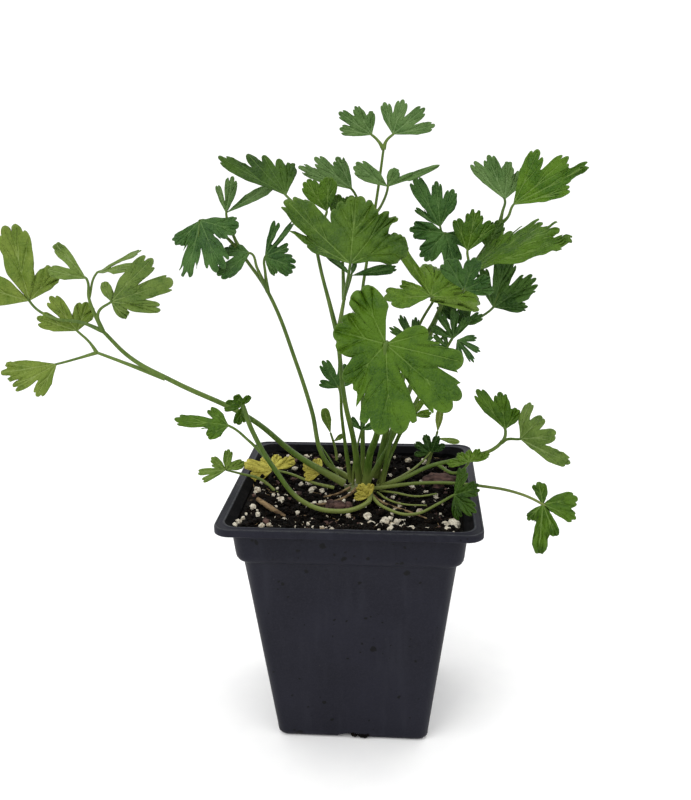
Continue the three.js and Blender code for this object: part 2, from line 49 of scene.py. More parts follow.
# ---- driving dimensions ---------------------------------------------------------------------
POT_LOW, POT_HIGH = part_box("pot")
RIM_WIDTH = POT_HIGH.x - POT_LOW.x
POT_HEIGHT = POT_HIGH.z
BAND_TOP = 91 * MM
BAND_FOOT = 88.8 * MM
BODY_TOP = 83.4 * MM
BODY_FOOT = 63.6 * MM
BAND_HEIGHT = 17.6 * MM
FLANGE = 3.1 * MM
LEDGE = 3.4 * MM
WALL = 1.2 * MM
CORNER = 5 * MM
SOIL_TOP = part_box("potting_soil")[1].z
CROWN_LOW, CROWN_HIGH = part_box("root_crown")
CROWN = (CROWN_LOW + CROWN_HIGH) / 2

# ---- small helpers --------------------------------------------------------------------------


def rest_tools():
    """Leaves edit mode and lets go of everything."""
    if bpy.context.object and bpy.context.object.mode != "OBJECT":
        bpy.ops.object.mode_set(mode="OBJECT")
    bpy.ops.object.select_all(action="DESELECT")


def take(*objects):
    """Selects these objects and nothing else; the first is the active one."""
    rest_tools()
    for piece in objects:
        piece.select_set(True)
    bpy.context.view_layer.objects.active = objects[0]


def edit(piece):
    """Enters edit mode on this piece with everything selected."""
    take(piece)
    bpy.ops.object.mode_set(mode="EDIT")
    bpy.ops.mesh.select_all(action="SELECT")


def leave_edit():
    """Turns every face outward and leaves edit mode."""
    bpy.ops.mesh.select_all(action="SELECT")
    bpy.ops.mesh.normals_make_consistent(inside=False)
    bpy.ops.object.mode_set(mode="OBJECT")


def into_scene(name, data):
    """A new object for this data, linked into the scene."""
    piece = bpy.data.objects.new(name, data)
    bpy.context.scene.collection.objects.link(piece)
    return piece


def add_modifier(piece, kind, **settings):
    """Adds a modifier with these settings and applies it at once."""
    take(piece)
    modifier = piece.modifiers.new(kind.lower(), kind)
    for key, value in settings.items():
        setattr(modifier, key, value)
    bpy.ops.object.modifier_apply(modifier=modifier.name)


def copy_piece(source, name):
    """A copy with a mesh of its own."""
    piece = into_scene(name, source.data.copy())
    piece.data.name = name
    return piece


def join(pieces, name):
    """Joins several pieces into one and names it."""
    take(*pieces)
    if len(pieces) > 1:
        bpy.ops.object.join()
    piece = bpy.context.object
    piece.name = name
    piece.data.name = name
    return piece


def settle(piece):
    """Writes the piece's place into its mesh, so that its object sits at the origin."""
    take(piece)
    bpy.ops.object.transform_apply(location=True, rotation=True, scale=True)


def smooth(piece, angle=40):
    """Smooth shading, with a crease wherever faces meet at more than this angle."""
    take(piece)
    bpy.ops.object.shade_smooth_by_angle(angle=math.radians(angle))


def smooth_all(piece):
    """Smooth shading with no creases."""
    take(piece)
    bpy.ops.object.shade_smooth()


def dress(piece, skin):
    """Gives the piece this one material."""
    piece.data.materials.clear()
    piece.data.materials.append(skin)


def in_metres(route):
    """A route given in millimetres, as vectors in metres."""
    return [Vector(point) * MM for point in route]


def finish_piece(piece, nodes):
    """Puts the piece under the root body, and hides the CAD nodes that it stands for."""
    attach(piece, "root")
    if nodes:
        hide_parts(*nodes)


# ---- materials ------------------------------------------------------------------------------


class Recipe:
    """A material under construction: makes nodes and links them with few words."""

    def __init__(self, name):
        self.material = bpy.data.materials.new(name)
        self.material.use_nodes = True
        self.tree = self.material.node_tree
        self.shader = self.tree.nodes["Principled BSDF"]
        self.place = self.node("ShaderNodeTexCoord").outputs["Object"]

    def node(self, kind, **settings):
        node = self.tree.nodes.new(kind)
        for key, value in settings.items():
            setattr(node, key, value)
        return node

    def link(self, source, target):
        self.tree.links.new(source, target)

    def stretched(self, scale):
        """Object coordinates stretched by these three factors."""
        mapping = self.node("ShaderNodeMapping")
        mapping.inputs["Scale"].default_value = scale
        self.link(self.place, mapping.inputs["Vector"])
        return mapping.outputs["Vector"]

    def noise(self, scale, detail=3, rough=0.5, place=None, distortion=0):
        node = self.node("ShaderNodeTexNoise")
        node.inputs["Scale"].default_value = scale
        node.inputs["Detail"].default_value = detail
        node.inputs["Roughness"].default_value = rough
        node.inputs["Distortion"].default_value = distortion
        self.link(place or self.place, node.inputs["Vector"])
        return node.outputs["Fac"]

    def cells(self, scale, feature="F1", place=None):
        node = self.node("ShaderNodeTexVoronoi", feature=feature)
        node.inputs["Scale"].default_value = scale
        self.link(place or self.place, node.inputs["Vector"])
        return node

    def unrolled(self, place):
        """Wall coordinates: the way round an upright face of a square pot, and the height."""
        around = self.node("ShaderNodeVectorMath", operation="DOT_PRODUCT")
        self.link(place, around.inputs[0])
        around.inputs[1].default_value = (1, 1, 0)
        parts = self.node("ShaderNodeSeparateXYZ")
        self.link(place, parts.inputs[0])
        sheet = self.node("ShaderNodeCombineXYZ")
        self.link(around.outputs["Value"], sheet.inputs[0])
        self.link(parts.outputs[2], sheet.inputs[1])
        return sheet.outputs[0]

    def attribute(self, name):
        return self.node("ShaderNodeAttribute", attribute_name=name).outputs["Fac"]

    def height(self):
        split = self.node("ShaderNodeSeparateXYZ")
        self.link(self.place, split.inputs[0])
        return split.outputs["Z"]

    def ramp(self, source, low, high, to_low=0.0, to_high=1.0):
        """Eases from to_low to to_high while the source goes from low to high."""
        node = self.node("ShaderNodeMapRange", interpolation_type="SMOOTHSTEP")
        node.inputs["From Min"].default_value = low
        node.inputs["From Max"].default_value = high
        node.inputs["To Min"].default_value = to_low
        node.inputs["To Max"].default_value = to_high
        self.link(source, node.inputs["Value"])
        return node.outputs["Result"]

    def math(self, operation, first, second):
        node = self.node("ShaderNodeMath", operation=operation)
        self.link(first, node.inputs[0])
        self.link(second, node.inputs[1])
        return node.outputs[0]

    def blend(self, amount, first, second):
        """Goes from the first colour to the second as the amount rises from 0 to 1."""
        node = self.node("ShaderNodeMix", data_type="RGBA")
        self.link(amount, node.inputs["Factor"])
        for socket, value in ((node.inputs[6], first), (node.inputs[7], second)):
            if isinstance(value, tuple):
                socket.default_value = (*value, 1)
            else:
                self.link(value, socket)
        return node.outputs[2]

    def bump(self, height, distance, strength=1.0, under=None):
        node = self.node("ShaderNodeBump")
        node.inputs["Distance"].default_value = distance
        node.inputs["Strength"].default_value = strength
        self.link(height, node.inputs["Height"])
        if under:
            self.link(under, node.inputs["Normal"])
        return node.outputs["Normal"]

    def finish(self, colour, roughness, normal=None, **sockets):
        self.link(colour, self.shader.inputs["Base Color"])
        if isinstance(roughness, (int, float)):
            self.shader.inputs["Roughness"].default_value = roughness
        else:
            self.link(roughness, self.shader.inputs["Roughness"])
        if normal:
            self.link(normal, self.shader.inputs["Normal"])
        for key, value in sockets.items():
            self.shader.inputs[key.replace("_", " ")].default_value = value
        return self.material


# Colours, linear.
STALK_SHADE, STALK_LIGHT = (0.040, 0.082, 0.0080), (0.078, 0.128, 0.0180)
STALK_STREAK, STALK_FOOT = (0.130, 0.190, 0.040), (0.165, 0.190, 0.050)
CHARCOAL, WORN_CHARCOAL = (0.0046, 0.0047, 0.0094), (0.0074, 0.0075, 0.0140)
PLASTIC_GRAIN, PLASTIC_STREAK = (0.0115, 0.0118, 0.0190), (0.014, 0.0145, 0.022)
# The second colour on the next line is a painted highlight for the rim's top edge, broken like scuffs.
WATER_MARK, RIM_HIGHLIGHT_AND_SCUFF = (0.0003, 0.0004, 0.0012), (0.040, 0.043, 0.048)
# The first colour on the next line lightens the rim's top faces in patches.
LEDGE_LIGHTENING, PLASTIC_SPECK = (0.018, 0.0185, 0.0200), (0.040, 0.038, 0.036)
# The first colour on the next line is painted shade for the pot's inside walls; the second is dried
# peat stain.
INSIDE_PAINTED_SHADE, DRY_STAIN = (0.0010, 0.0010, 0.0014), (0.0080, 0.0070, 0.0075)
WET_PEAT, DRY_PEAT = (0.0009, 0.0008, 0.0007), (0.0090, 0.0056, 0.0036)
PEAT_FIBRE, PEAT_SPECK = (0.040, 0.022, 0.012), (0.12, 0.10, 0.075)
CLEAN_GRAIN, STAINED_GRAIN = (0.56, 0.52, 0.42), (0.26, 0.20, 0.12)
GRAIN_PORE = (0.18, 0.14, 0.10)
BARK_DARK, BARK_LIGHT = (0.022, 0.011, 0.009), (0.095, 0.052, 0.042)
STRAW_DARK, STRAW_LIGHT = (0.070, 0.042, 0.020), (0.230, 0.160, 0.080)
CROWN_SHADE, CROWN_LIGHT = (0.045, 0.065, 0.012), (0.125, 0.140, 0.042)
CROWN_SCALE = (0.17, 0.105, 0.045)
PAPER_SHADE, PAPER_LIGHT = (0.885, 0.885, 0.885), (0.905, 0.905, 0.90)
UNDERSIDE_GREY, UNDERSIDE_SHARE = (0.11, 0.155, 0.07), 0.38


def leaf_upper(name, deep, light, vein):
    """The satin upper side of a blade: mottled green, a fine net, and pale sunken veins."""
    recipe = Recipe(name)
    patches = recipe.noise(95, 4, 0.6)
    grain = recipe.noise(1100, 2, 0.6)
    net = recipe.cells(620, "DISTANCE_TO_EDGE").outputs["Distance"]
    colour = recipe.blend(recipe.ramp(patches, 0.38, 0.62), deep, light)
    colour = recipe.blend(recipe.ramp(grain, 0.35, 0.7, 0.0, 0.45), colour, light)
    colour = recipe.blend(recipe.ramp(net, 0.0, 0.10, 0.30, 0.0), colour, light)
    gap = recipe.attribute("vein_gap")
    colour = recipe.blend(recipe.ramp(gap, 0.05, 0.30, 0.7, 0.0), colour, vein)
    edge = recipe.ramp(recipe.attribute("reach"), 0.955, 1.0, 0.0, 0.3)
    colour = recipe.blend(edge, colour, vein)
    normal = recipe.bump(recipe.ramp(net, 0.0, 0.25), 0.0003, 0.6)
    normal = recipe.bump(grain, 0.0001, 0.3, normal)
    normal = recipe.bump(recipe.ramp(gap, 0.0, 1.4), 0.0004, 0.8, normal)
    roughness = recipe.ramp(patches, 0.3, 0.7, 0.42, 0.56)
    return recipe.finish(colour, roughness, normal, Specular_IOR_Level=0.16)


def leaf_under(name, deep, light, vein):
    """The matt underside of a blade: paler, with the veins standing out."""
    recipe = Recipe(name)
    patches = recipe.noise(110, 3, 0.5)
    colour = recipe.blend(recipe.ramp(patches, 0.35, 0.68), deep, light)
    gap = recipe.attribute("vein_gap")
    colour = recipe.blend(recipe.ramp(gap, 0.1, 0.5, 0.7, 0.0), colour, vein)
    normal = recipe.bump(recipe.ramp(gap, 0.0, 0.8, 1.0, 0.0), 0.0005, 0.8)
    return recipe.finish(colour, 0.62, normal, Specular_IOR_Level=0.1)


def stalk_skin():
    """Waxy green stalks, ribbed lengthwise, paler and yellower towards the crown."""
    recipe = Recipe("stalk_skin")
    along = recipe.stretched((1, 1, 0.08))
    streaks = recipe.noise(900, 2, 0.5, along)
    patches = recipe.noise(60, 2, 0.5)
    colour = recipe.blend(recipe.ramp(patches, 0.35, 0.65), STALK_SHADE, STALK_LIGHT)
    colour = recipe.blend(recipe.ramp(streaks, 0.4, 0.75, 0.0, 0.4), colour, STALK_STREAK)
    foot = recipe.ramp(recipe.height(), SOIL_TOP + 2 * MM, SOIL_TOP + 17 * MM, 0.75, 0.0)
    colour = recipe.blend(foot, colour, STALK_FOOT)
    normal = recipe.bump(streaks, 0.00015, 0.4)
    return recipe.finish(colour, 0.42, normal, Specular_IOR_Level=0.2)


def pot_plastic():
    """Thin charcoal plastic: fine grain, faint upright streaks, dried splashes, a painted highlight
    broken like scuffs along the rim's top edge.
    """
    recipe = Recipe("pot_plastic")
    streaks = recipe.noise(170, 3, 0.55, recipe.stretched((1, 1, 0.06)))
    grain = recipe.noise(1300, 3, 0.7)
    clouds = recipe.noise(35, 3, 0.5)
    colour = recipe.blend(recipe.ramp(clouds, 0.3, 0.7), CHARCOAL, WORN_CHARCOAL)
    colour = recipe.blend(recipe.ramp(grain, 0.42, 0.62, 0.0, 0.45), colour, PLASTIC_GRAIN)
    colour = recipe.blend(recipe.ramp(streaks, 0.5, 0.75, 0.0, 0.45), colour, PLASTIC_STREAK)
    warped = recipe.node("ShaderNodeVectorMath", operation="ADD")
    wobble = recipe.node("ShaderNodeTexNoise")
    wobble.inputs["Scale"].default_value = 420
    recipe.link(recipe.place, wobble.inputs["Vector"])
    push = recipe.node("ShaderNodeVectorMath", operation="SCALE")
    push.inputs["Scale"].default_value = 0.0016
    recipe.link(wobble.outputs["Color"], push.inputs[0])
    recipe.link(recipe.place, warped.inputs[0])
    recipe.link(push.outputs[0], warped.inputs[1])
    splash = None
    for density, rarest in ((115, 0.60), (230, 0.66), (420, 0.78)):
        spots = recipe.cells(density, place=recipe.unrolled(warped.outputs[0]))
        size = recipe.node("ShaderNodeSeparateColor")
        recipe.link(spots.outputs["Color"], size.inputs[0])
        reach = recipe.ramp(size.outputs[0], rarest, 1.0, 0.0, 0.23)
        inside = recipe.math("SUBTRACT", reach, spots.outputs["Distance"])
        spot = recipe.ramp(inside, 0.0, 0.05, 0.0, 1.0)
        splash = recipe.math("MAXIMUM", splash, spot) if splash else spot
    colour = recipe.blend(splash, colour, WATER_MARK)
    # Painted highlight: a thin lighter line along the rim's very top edge, broken up by noise like
    # scuffs.
    rim = recipe.ramp(recipe.height(), POT_HEIGHT - 0.22 * MM, POT_HEIGHT - 0.05 * MM)
    highlight_and_scuffs = recipe.ramp(recipe.noise(420, 4, 0.7), 0.36, 0.62, 0.15, 0.85)
    colour = recipe.blend(recipe.math("MULTIPLY", rim, highlight_and_scuffs), colour, RIM_HIGHLIGHT_AND_SCUFF)
    # The rim's top faces are lighter in noisy patches.
    ledge = recipe.ramp(recipe.height(), POT_HEIGHT - 0.9 * MM, POT_HEIGHT - 0.4 * MM, 0.0, 0.4)
    top_patches = recipe.ramp(recipe.noise(260, 4, 0.65), 0.40, 0.75)
    colour = recipe.blend(recipe.math("MULTIPLY", ledge, top_patches), colour, LEDGE_LIGHTENING)
    specks = recipe.ramp(recipe.noise(900, 3, 0.6), 0.68, 0.78, 0.0, 0.3)
    colour = recipe.blend(specks, colour, PLASTIC_SPECK)
    normal = recipe.bump(grain, 0.00008, 0.3)
    normal = recipe.bump(streaks, 0.0002, 0.25, normal)
    roughness = recipe.ramp(splash, 0.0, 0.75, 0.5, 0.3)
    return recipe.finish(colour, roughness, normal, Specular_IOR_Level=0.13)


def inside_shade_plastic():
    """The inside of the pot above the soil: near-black painted shade, mottled with paler dried peat
    stains.
    """
    recipe = Recipe("inside_shade_plastic")
    # Mottle between the painted shade and paler dried stains.
    stain = recipe.noise(180, 4, 0.65)
    colour = recipe.blend(recipe.ramp(stain, 0.45, 0.75), INSIDE_PAINTED_SHADE, DRY_STAIN)
    return recipe.finish(colour, 0.8, recipe.bump(stain, 0.0003, 0.6), Specular_IOR_Level=0.05)


def soil_mix():
    """Damp peat: near black, with brown fibres and small paler specks."""
    recipe = Recipe("soil_mix")
    lumps = recipe.noise(520, 5, 0.7)
    colour = recipe.blend(recipe.ramp(lumps, 0.42, 0.72), WET_PEAT, DRY_PEAT)
    fibres = recipe.noise(900, 2, 0.5, recipe.stretched((1, 0.25, 1)), 2.5)
    colour = recipe.blend(recipe.ramp(fibres, 0.62, 0.74, 0.0, 0.6), colour, PEAT_FIBRE)
    specks = recipe.ramp(recipe.noise(1500, 2, 0.6), 0.70, 0.76, 0.0, 0.7)
    colour = recipe.blend(specks, colour, PEAT_SPECK)
    normal = recipe.bump(lumps, 0.0014, 1.0)
    roughness = recipe.ramp(lumps, 0.35, 0.7, 0.6, 0.95)
    return recipe.finish(colour, roughness, normal, Specular_IOR_Level=0.06)


def perlite():
    """Expanded white volcanic grains, stained a little by the peat."""
    recipe = Recipe("perlite")
    pores = recipe.noise(1500, 3, 0.6)
    stain = recipe.noise(240, 3, 0.6)
    colour = recipe.blend(recipe.ramp(stain, 0.48, 0.72), CLEAN_GRAIN, STAINED_GRAIN)
    colour = recipe.blend(recipe.ramp(pores, 0.36, 0.5, 0.6, 0.0), colour, GRAIN_PORE)
    return recipe.finish(colour, 0.9, recipe.bump(pores, 0.0004, 0.9), Specular_IOR_Level=0.2)


def streaked_skin(name, dark, light, scale, detail, rough, roughness, depth, strength):
    """A dull skin streaked along X, the length of the pieces that wear it."""
    recipe = Recipe(name)
    grain = recipe.noise(scale, detail, rough, recipe.stretched((0.3, 1, 1)))
    colour = recipe.blend(recipe.ramp(grain, 0.35, 0.65), dark, light)
    normal = recipe.bump(grain, depth, strength)
    return recipe.finish(colour, roughness, normal, Specular_IOR_Level=0.2)


def crown_skin():
    """Pale green-white bases of the leaf stalks with tan, papery old scales."""
    recipe = Recipe("crown_skin")
    patches = recipe.noise(220, 4, 0.6)
    colour = recipe.blend(recipe.ramp(patches, 0.35, 0.65), CROWN_SHADE, CROWN_LIGHT)
    scales = recipe.ramp(recipe.noise(400, 3, 0.6), 0.55, 0.68, 0.0, 0.7)
    colour = recipe.blend(scales, colour, CROWN_SCALE)
    return recipe.finish(colour, 0.6, recipe.bump(patches, 0.0006, 0.6))


TONES = {
    "fresh": ((0.021, 0.061, 0.0015), (0.055, 0.117, 0.0042), (0.120, 0.190, 0.038)),
    "bright": ((0.027, 0.080, 0.0025), (0.069, 0.145, 0.0065), (0.130, 0.205, 0.045)),
    "olive": ((0.021, 0.057, 0.0020), (0.053, 0.106, 0.0060), (0.120, 0.185, 0.040)),
    "glow": ((0.050, 0.114, 0.0055), (0.104, 0.190, 0.0140), (0.170, 0.240, 0.060)),
    "forest": ((0.011, 0.036, 0.0015), (0.034, 0.078, 0.0045), (0.075, 0.135, 0.026)),
    "blue": ((0.036, 0.088, 0.0150), (0.084, 0.152, 0.0400), (0.130, 0.205, 0.075)),
    "dark": ((0.013, 0.050, 0.0060), (0.044, 0.106, 0.0180), (0.090, 0.160, 0.044)),
    "deep": ((0.012, 0.042, 0.0045), (0.046, 0.104, 0.0140), (0.070, 0.130, 0.034)),
    "pale": ((0.072, 0.123, 0.0100), (0.130, 0.184, 0.0250), (0.190, 0.245, 0.070)),
    "pale_mid": ((0.048, 0.094, 0.0110), (0.096, 0.150, 0.0240), (0.170, 0.225, 0.070)),
    "pale_dark": ((0.050, 0.096, 0.0110), (0.104, 0.164, 0.0270), (0.165, 0.220, 0.075)),
    "young": ((0.054, 0.108, 0.0080), (0.108, 0.175, 0.0220), (0.180, 0.235, 0.065)),
    "yellow": ((0.240, 0.200, 0.0200), (0.460, 0.420, 0.0750), (0.290, 0.235, 0.0500)),
}


def underside(colours):
    """The same greens seen from below: lighter and greyer."""
    return [tuple((1 - UNDERSIDE_SHARE) * part + UNDERSIDE_SHARE * grey
                  for part, grey in zip(colour, UNDERSIDE_GREY)) for colour in colours]


BLADE_SKINS = {}
for tone, colours in TONES.items():
    BLADE_SKINS[tone] = (
        leaf_upper(f"leaf_{tone}_upper", *colours),
        leaf_under(f"leaf_{tone}_under", *underside(colours)),
    )
STALK_SKIN = stalk_skin()
POT_PLASTIC = pot_plastic()
INSIDE_SHADE_PLASTIC = inside_shade_plastic()
SOIL_MIX = soil_mix()
PERLITE = perlite()
BARK = streaked_skin("bark", BARK_DARK, BARK_LIGHT, 500, 4, 0.65, 0.8, 0.0007, 0.9)
STRAW = streaked_skin("dry_straw", STRAW_DARK, STRAW_LIGHT, 700, 3, 0.6, 0.75, 0.0003, 0.6)
CROWN_SKIN = crown_skin()

# ---- leaf blades ----------------------------------------------------------------------------
# A blade is a fan of lobes. Each lobe has its angle from the middle line in degrees, its reach
# as a share of the blade's length, its half spread in degrees, its number of teeth, and how far
# out the notch between it and the next lobe begins.


LOBE_LIMIT = 1.35  # how far a lobe's curve is followed, in half spreads
LOBE_TAPER = 0.26  # how much a lobe loses at one half spread from its middle
SINUS_SLOPE = 6.5  # how fast the edge rises out of the notch between two lobes
FAN_SPREAD = 1.15  # how far the blade goes past its outer lobes' middles, in half spreads
BLADE_THICKNESS = 0.26 * MM
LARGE_BLADE = 23 * MM
LARGE_GRID, PLAIN_GRID, SMALL_GRID = (260, 34), (150, 20), (80, 10)
LOBE_LIFT = 0.10  # as a share of the blade's length, like the next three
WOBBLE_DEPTH = 0.17
PUFF_START = 0.11  # how far from a vein the blade is fully puffed up
STIFF_BASE = 0.45  # how far from the stalk the blade is fully free to wave


def valley_between(left, right):
    """The angle of the notch between two neighbouring lobes."""
    return left[0] + (right[0] - left[0]) * left[2] / (left[2] + right[2])


def outline(lobes, bite, chance):
    """Returns the reach of the blade's edge as a function of the angle, and its veins."""
    teeth = []
    for _, _, _, count, _ in lobes:
        row = []
        for k in range(count):
            place = -1 + (2 * k + 1) / count
            place += chance.uniform(-0.12, 0.12) / count
            row.append((place, bite * chance.uniform(0.7, 1.25)))
        teeth.append(row)

    def edge(angle):
        best = 0
        for (middle, reach, spread, count, _), row in zip(lobes, teeth):
            across = (angle - middle) / spread
            if abs(across) > LOBE_LIMIT:
                continue
            place, cut = min(row, key=lambda tooth: abs(tooth[0] - across))
            notch = min(1.0, abs(place - across) * count)
            scallop = 1 - cut * (1 - math.sqrt(1 - notch ** 2 * 0.98))
            round_off = 1 - LOBE_TAPER * abs(across) ** 2.4
            best = max(best, reach * round_off * scallop)
        for left, right in zip(lobes, lobes[1:]):
            off = abs(math.radians(angle - valley_between(left, right)))
            best = min(best, left[4] + SINUS_SLOPE * off)
        return best

    def ray(turn, far):
        return Vector((far * math.sin(math.radians(turn)), far * math.cos(math.radians(turn))))

    veins = []
    for (middle, reach, spread, count, _), row in zip(lobes, teeth):
        veins.append((ray(middle, 0.0), ray(middle, 0.96 * reach), 1.0))
        for place, _ in row:
            if abs(place) > 0.15:
                turn = middle + place * spread
                fork = 0.64 - 0.36 * abs(place)
                veins.append((ray(middle, fork * reach), ray(turn, 0.95 * edge(turn)), 0.5))
    return edge, veins


def off_line(point, start, end):
    """How far a point is from a stretch of vein, and how far along that stretch it is."""
    along = end - start
    share = max(0.0, min(1.0, (point - start).dot(along) / along.length_squared))
    return (point - start - share * along).length, share


def fan_sheet(lobes, bite, seed, length, columns, rows):
    """One flat blade in the XY plane, its stalk end at the origin and its middle line along +Y."""
    edge, veins = outline(lobes, bite, random.Random(seed))
    low = lobes[0][0] - FAN_SPREAD * lobes[0][2]
    high = lobes[-1][0] + FAN_SPREAD * lobes[-1][2]
    middle, half = (low + high) / 2, (high - low) / 2
    rest_tools()
    bpy.ops.mesh.primitive_grid_add(x_subdivisions=columns, y_subdivisions=rows, size=2)
    piece = bpy.context.object
    edit(piece)
    bpy.ops.transform.translate(value=(0, 1, 0))
    bpy.ops.transform.resize(value=(1, 0.5, 1), center_override=(0, 0, 0))
    sheet = bmesh.from_edit_mesh(piece.data)
    strips = {}
    for corner in sheet.verts:
        strips.setdefault(round((corner.co.x + 1) / 2 * columns), []).append(corner.index)
    for column, indices in strips.items():
        bpy.ops.mesh.select_all(action="DESELECT")
        sheet = bmesh.from_edit_mesh(piece.data)
        sheet.verts.ensure_lookup_table()
        for index in indices:
            sheet.verts[index].select_set(True)
        angle = middle + half * (2 * column / columns - 1)
        bpy.ops.transform.resize(value=(1, edge(angle), 1), center_override=(0, 0, 0))
    bpy.ops.mesh.select_all(action="SELECT")
    radius = 1 / math.radians(half)
    bpy.ops.transform.resize(value=(-1, 1, 1), center_override=(0, 0, 0))
    bpy.ops.transform.translate(value=(0, radius, 0))
    bpy.ops.object.mode_set(mode="OBJECT")
    bend(piece, "Z", 2 * half)
    edit(piece)
    bpy.ops.transform.translate(value=(0, -radius, 0))
    bpy.ops.mesh.remove_doubles(threshold=0.0006)
    leave_edit()
    piece.rotation_euler = (0, 0, -math.radians(middle))
    settle(piece)
    if piece.data.polygons[0].normal.z < 0:
        piece.data.flip_normals()
    mark_veins(piece, edge, veins, length, lobes)
    return piece


def lobe_lift(lobes, flat):
    """Each lobe rises towards the edge that lies over its neighbour."""
    angle = math.degrees(math.atan2(flat.x, flat.y))
    for left, right in zip(lobes, lobes[1:]):
        valley = valley_between(left, right)
        if left[0] <= angle <= valley:
            share = (angle - left[0]) / (valley - left[0])
            return share ** 2 * max(0.0, min(1.0, (flat.length - 0.8 * left[4]) / 0.3))
    return 0.0


def mark_veins(piece, edge, veins, length, lobes):
    """Stores each corner's distance from the veins, and the groups that shape the blade."""
    mesh = piece.data
    gaps, reaches = [], []
    puff, margin, free, lift = [piece.vertex_groups.new(name=name)
                                for name in ("puff", "margin", "free", "lift")]
    for corner in mesh.vertices:
        flat = Vector((corner.co.x, corner.co.y))
        nearest = 1.0
        for start, end, weight in veins:
            gap, share = off_line(flat, start, end)
            width = (0.4 + 0.6 * weight) * (1 - 0.6 * share)
            nearest = min(nearest, gap / width)
        far = flat.length
        reach = far / max(0.05, edge(math.degrees(math.atan2(flat.x, flat.y))))
        gaps.append(nearest * length / MM)
        reaches.append(reach)
        hollow = min(1.0, nearest / PUFF_START) ** 1.2 * min(1.0, far / 0.4)
        puff.add([corner.index], hollow, "REPLACE")
        margin.add([corner.index], min(1.0, reach) ** 5, "REPLACE")
        free.add([corner.index], min(1.0, far / STIFF_BASE), "REPLACE")
        lift.add([corner.index], lobe_lift(lobes, flat), "REPLACE")
    for name, values in (("vein_gap", gaps), ("reach", reaches)):
        mesh.attributes.new(name, "FLOAT", "POINT").data.foreach_set("value", values)


SKYWARD = (0, -0.6, 0.8)  # the way that a blade's upper side looks, more or less
NORMAL_STEPS = 30  # rounds of the search for the blade's thinnest direction


def blade_seat(node, ends):
    """Where a blade grows in the frame: its stalk end, its axes and its length."""
    corners = [corner.co.copy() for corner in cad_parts[node].data.vertices]
    start = min(corners, key=lambda c: min((c - end).length for end in ends))
    middle = sum(corners, Vector()) / len(corners)
    along = (middle - start).normalized()
    spread = Matrix(((0, 0, 0), (0, 0, 0), (0, 0, 0)))
    for corner in corners:
        arm = corner - middle
        for i in range(3):
            for j in range(3):
                spread[i][j] += arm[i] * arm[j]
    inverse = (spread + Matrix.Identity(3) * 1e-9).inverted()
    up = Vector((0.1, *SKYWARD[1:]))
    for _ in range(NORMAL_STEPS):
        up = (inverse @ up).normalized()
    up = (up - along * up.dot(along)).normalized()
    if up.dot(Vector(SKYWARD)) < 0:
        up = -up
    length = max((corner - start).dot(along) for corner in corners)
    return start, along, up, length


def seat_between(base, tip, faces):
    """A blade's seat from its two ends and the way that its upper side looks."""
    start, end = Vector(base) * MM, Vector(tip) * MM
    along = (end - start).normalized()
    up = Vector(faces)
    return start, along, (up - along * up.dot(along)).normalized(), (end - start).length


WOBBLE = bpy.data.textures.new("blade_wobble", "CLOUDS")
WOBBLE.noise_scale = 13 * MM


def raise_group(piece, group, height):
    """Moves one group of corners up by this height."""
    add_modifier(piece, "DISPLACE", direction="Z", strength=height, mid_level=0.0, vertex_group=group)


def bend(piece, axis, degrees):
    if degrees:
        add_modifier(piece, "SIMPLE_DEFORM", deform_method="BEND", deform_axis=axis,
                     angle=math.radians(degrees))


def grow_blade(name, seat, tone, lobes, bite=0.13, droop=12, cup=-8, seed=1, curl=0.05, puff=0.042,
               small=False):
    """Shapes one blade from its lobes and sets it on its seat."""
    start, along, up, length = seat
    fineness = LARGE_GRID if length > LARGE_BLADE else SMALL_GRID if small else PLAIN_GRID
    piece = fan_sheet(lobes, bite, seed, length, *fineness)
    piece.name = piece.data.name = name
    piece.scale = (length, length, length)
    settle(piece)
    raise_group(piece, "puff", puff * length)
    raise_group(piece, "margin", -curl * length)
    raise_group(piece, "lift", LOBE_LIFT * length)
    bend(piece, "Y", cup)
    bend(piece, "X", droop)
    across = along.cross(up)
    piece.matrix_world = Matrix.Translation(start) @ Matrix((across, along, up)).transposed().to_4x4()
    settle(piece)
    add_modifier(piece, "DISPLACE", texture=WOBBLE, texture_coords="GLOBAL", mid_level=0.5,
                 strength=WOBBLE_DEPTH * length, vertex_group="free")
    add_modifier(piece, "SOLIDIFY", thickness=BLADE_THICKNESS, offset=0, material_offset=1)
    for skin in BLADE_SKINS[tone]:
        piece.data.materials.append(skin)
    smooth_all(piece)
    return piece


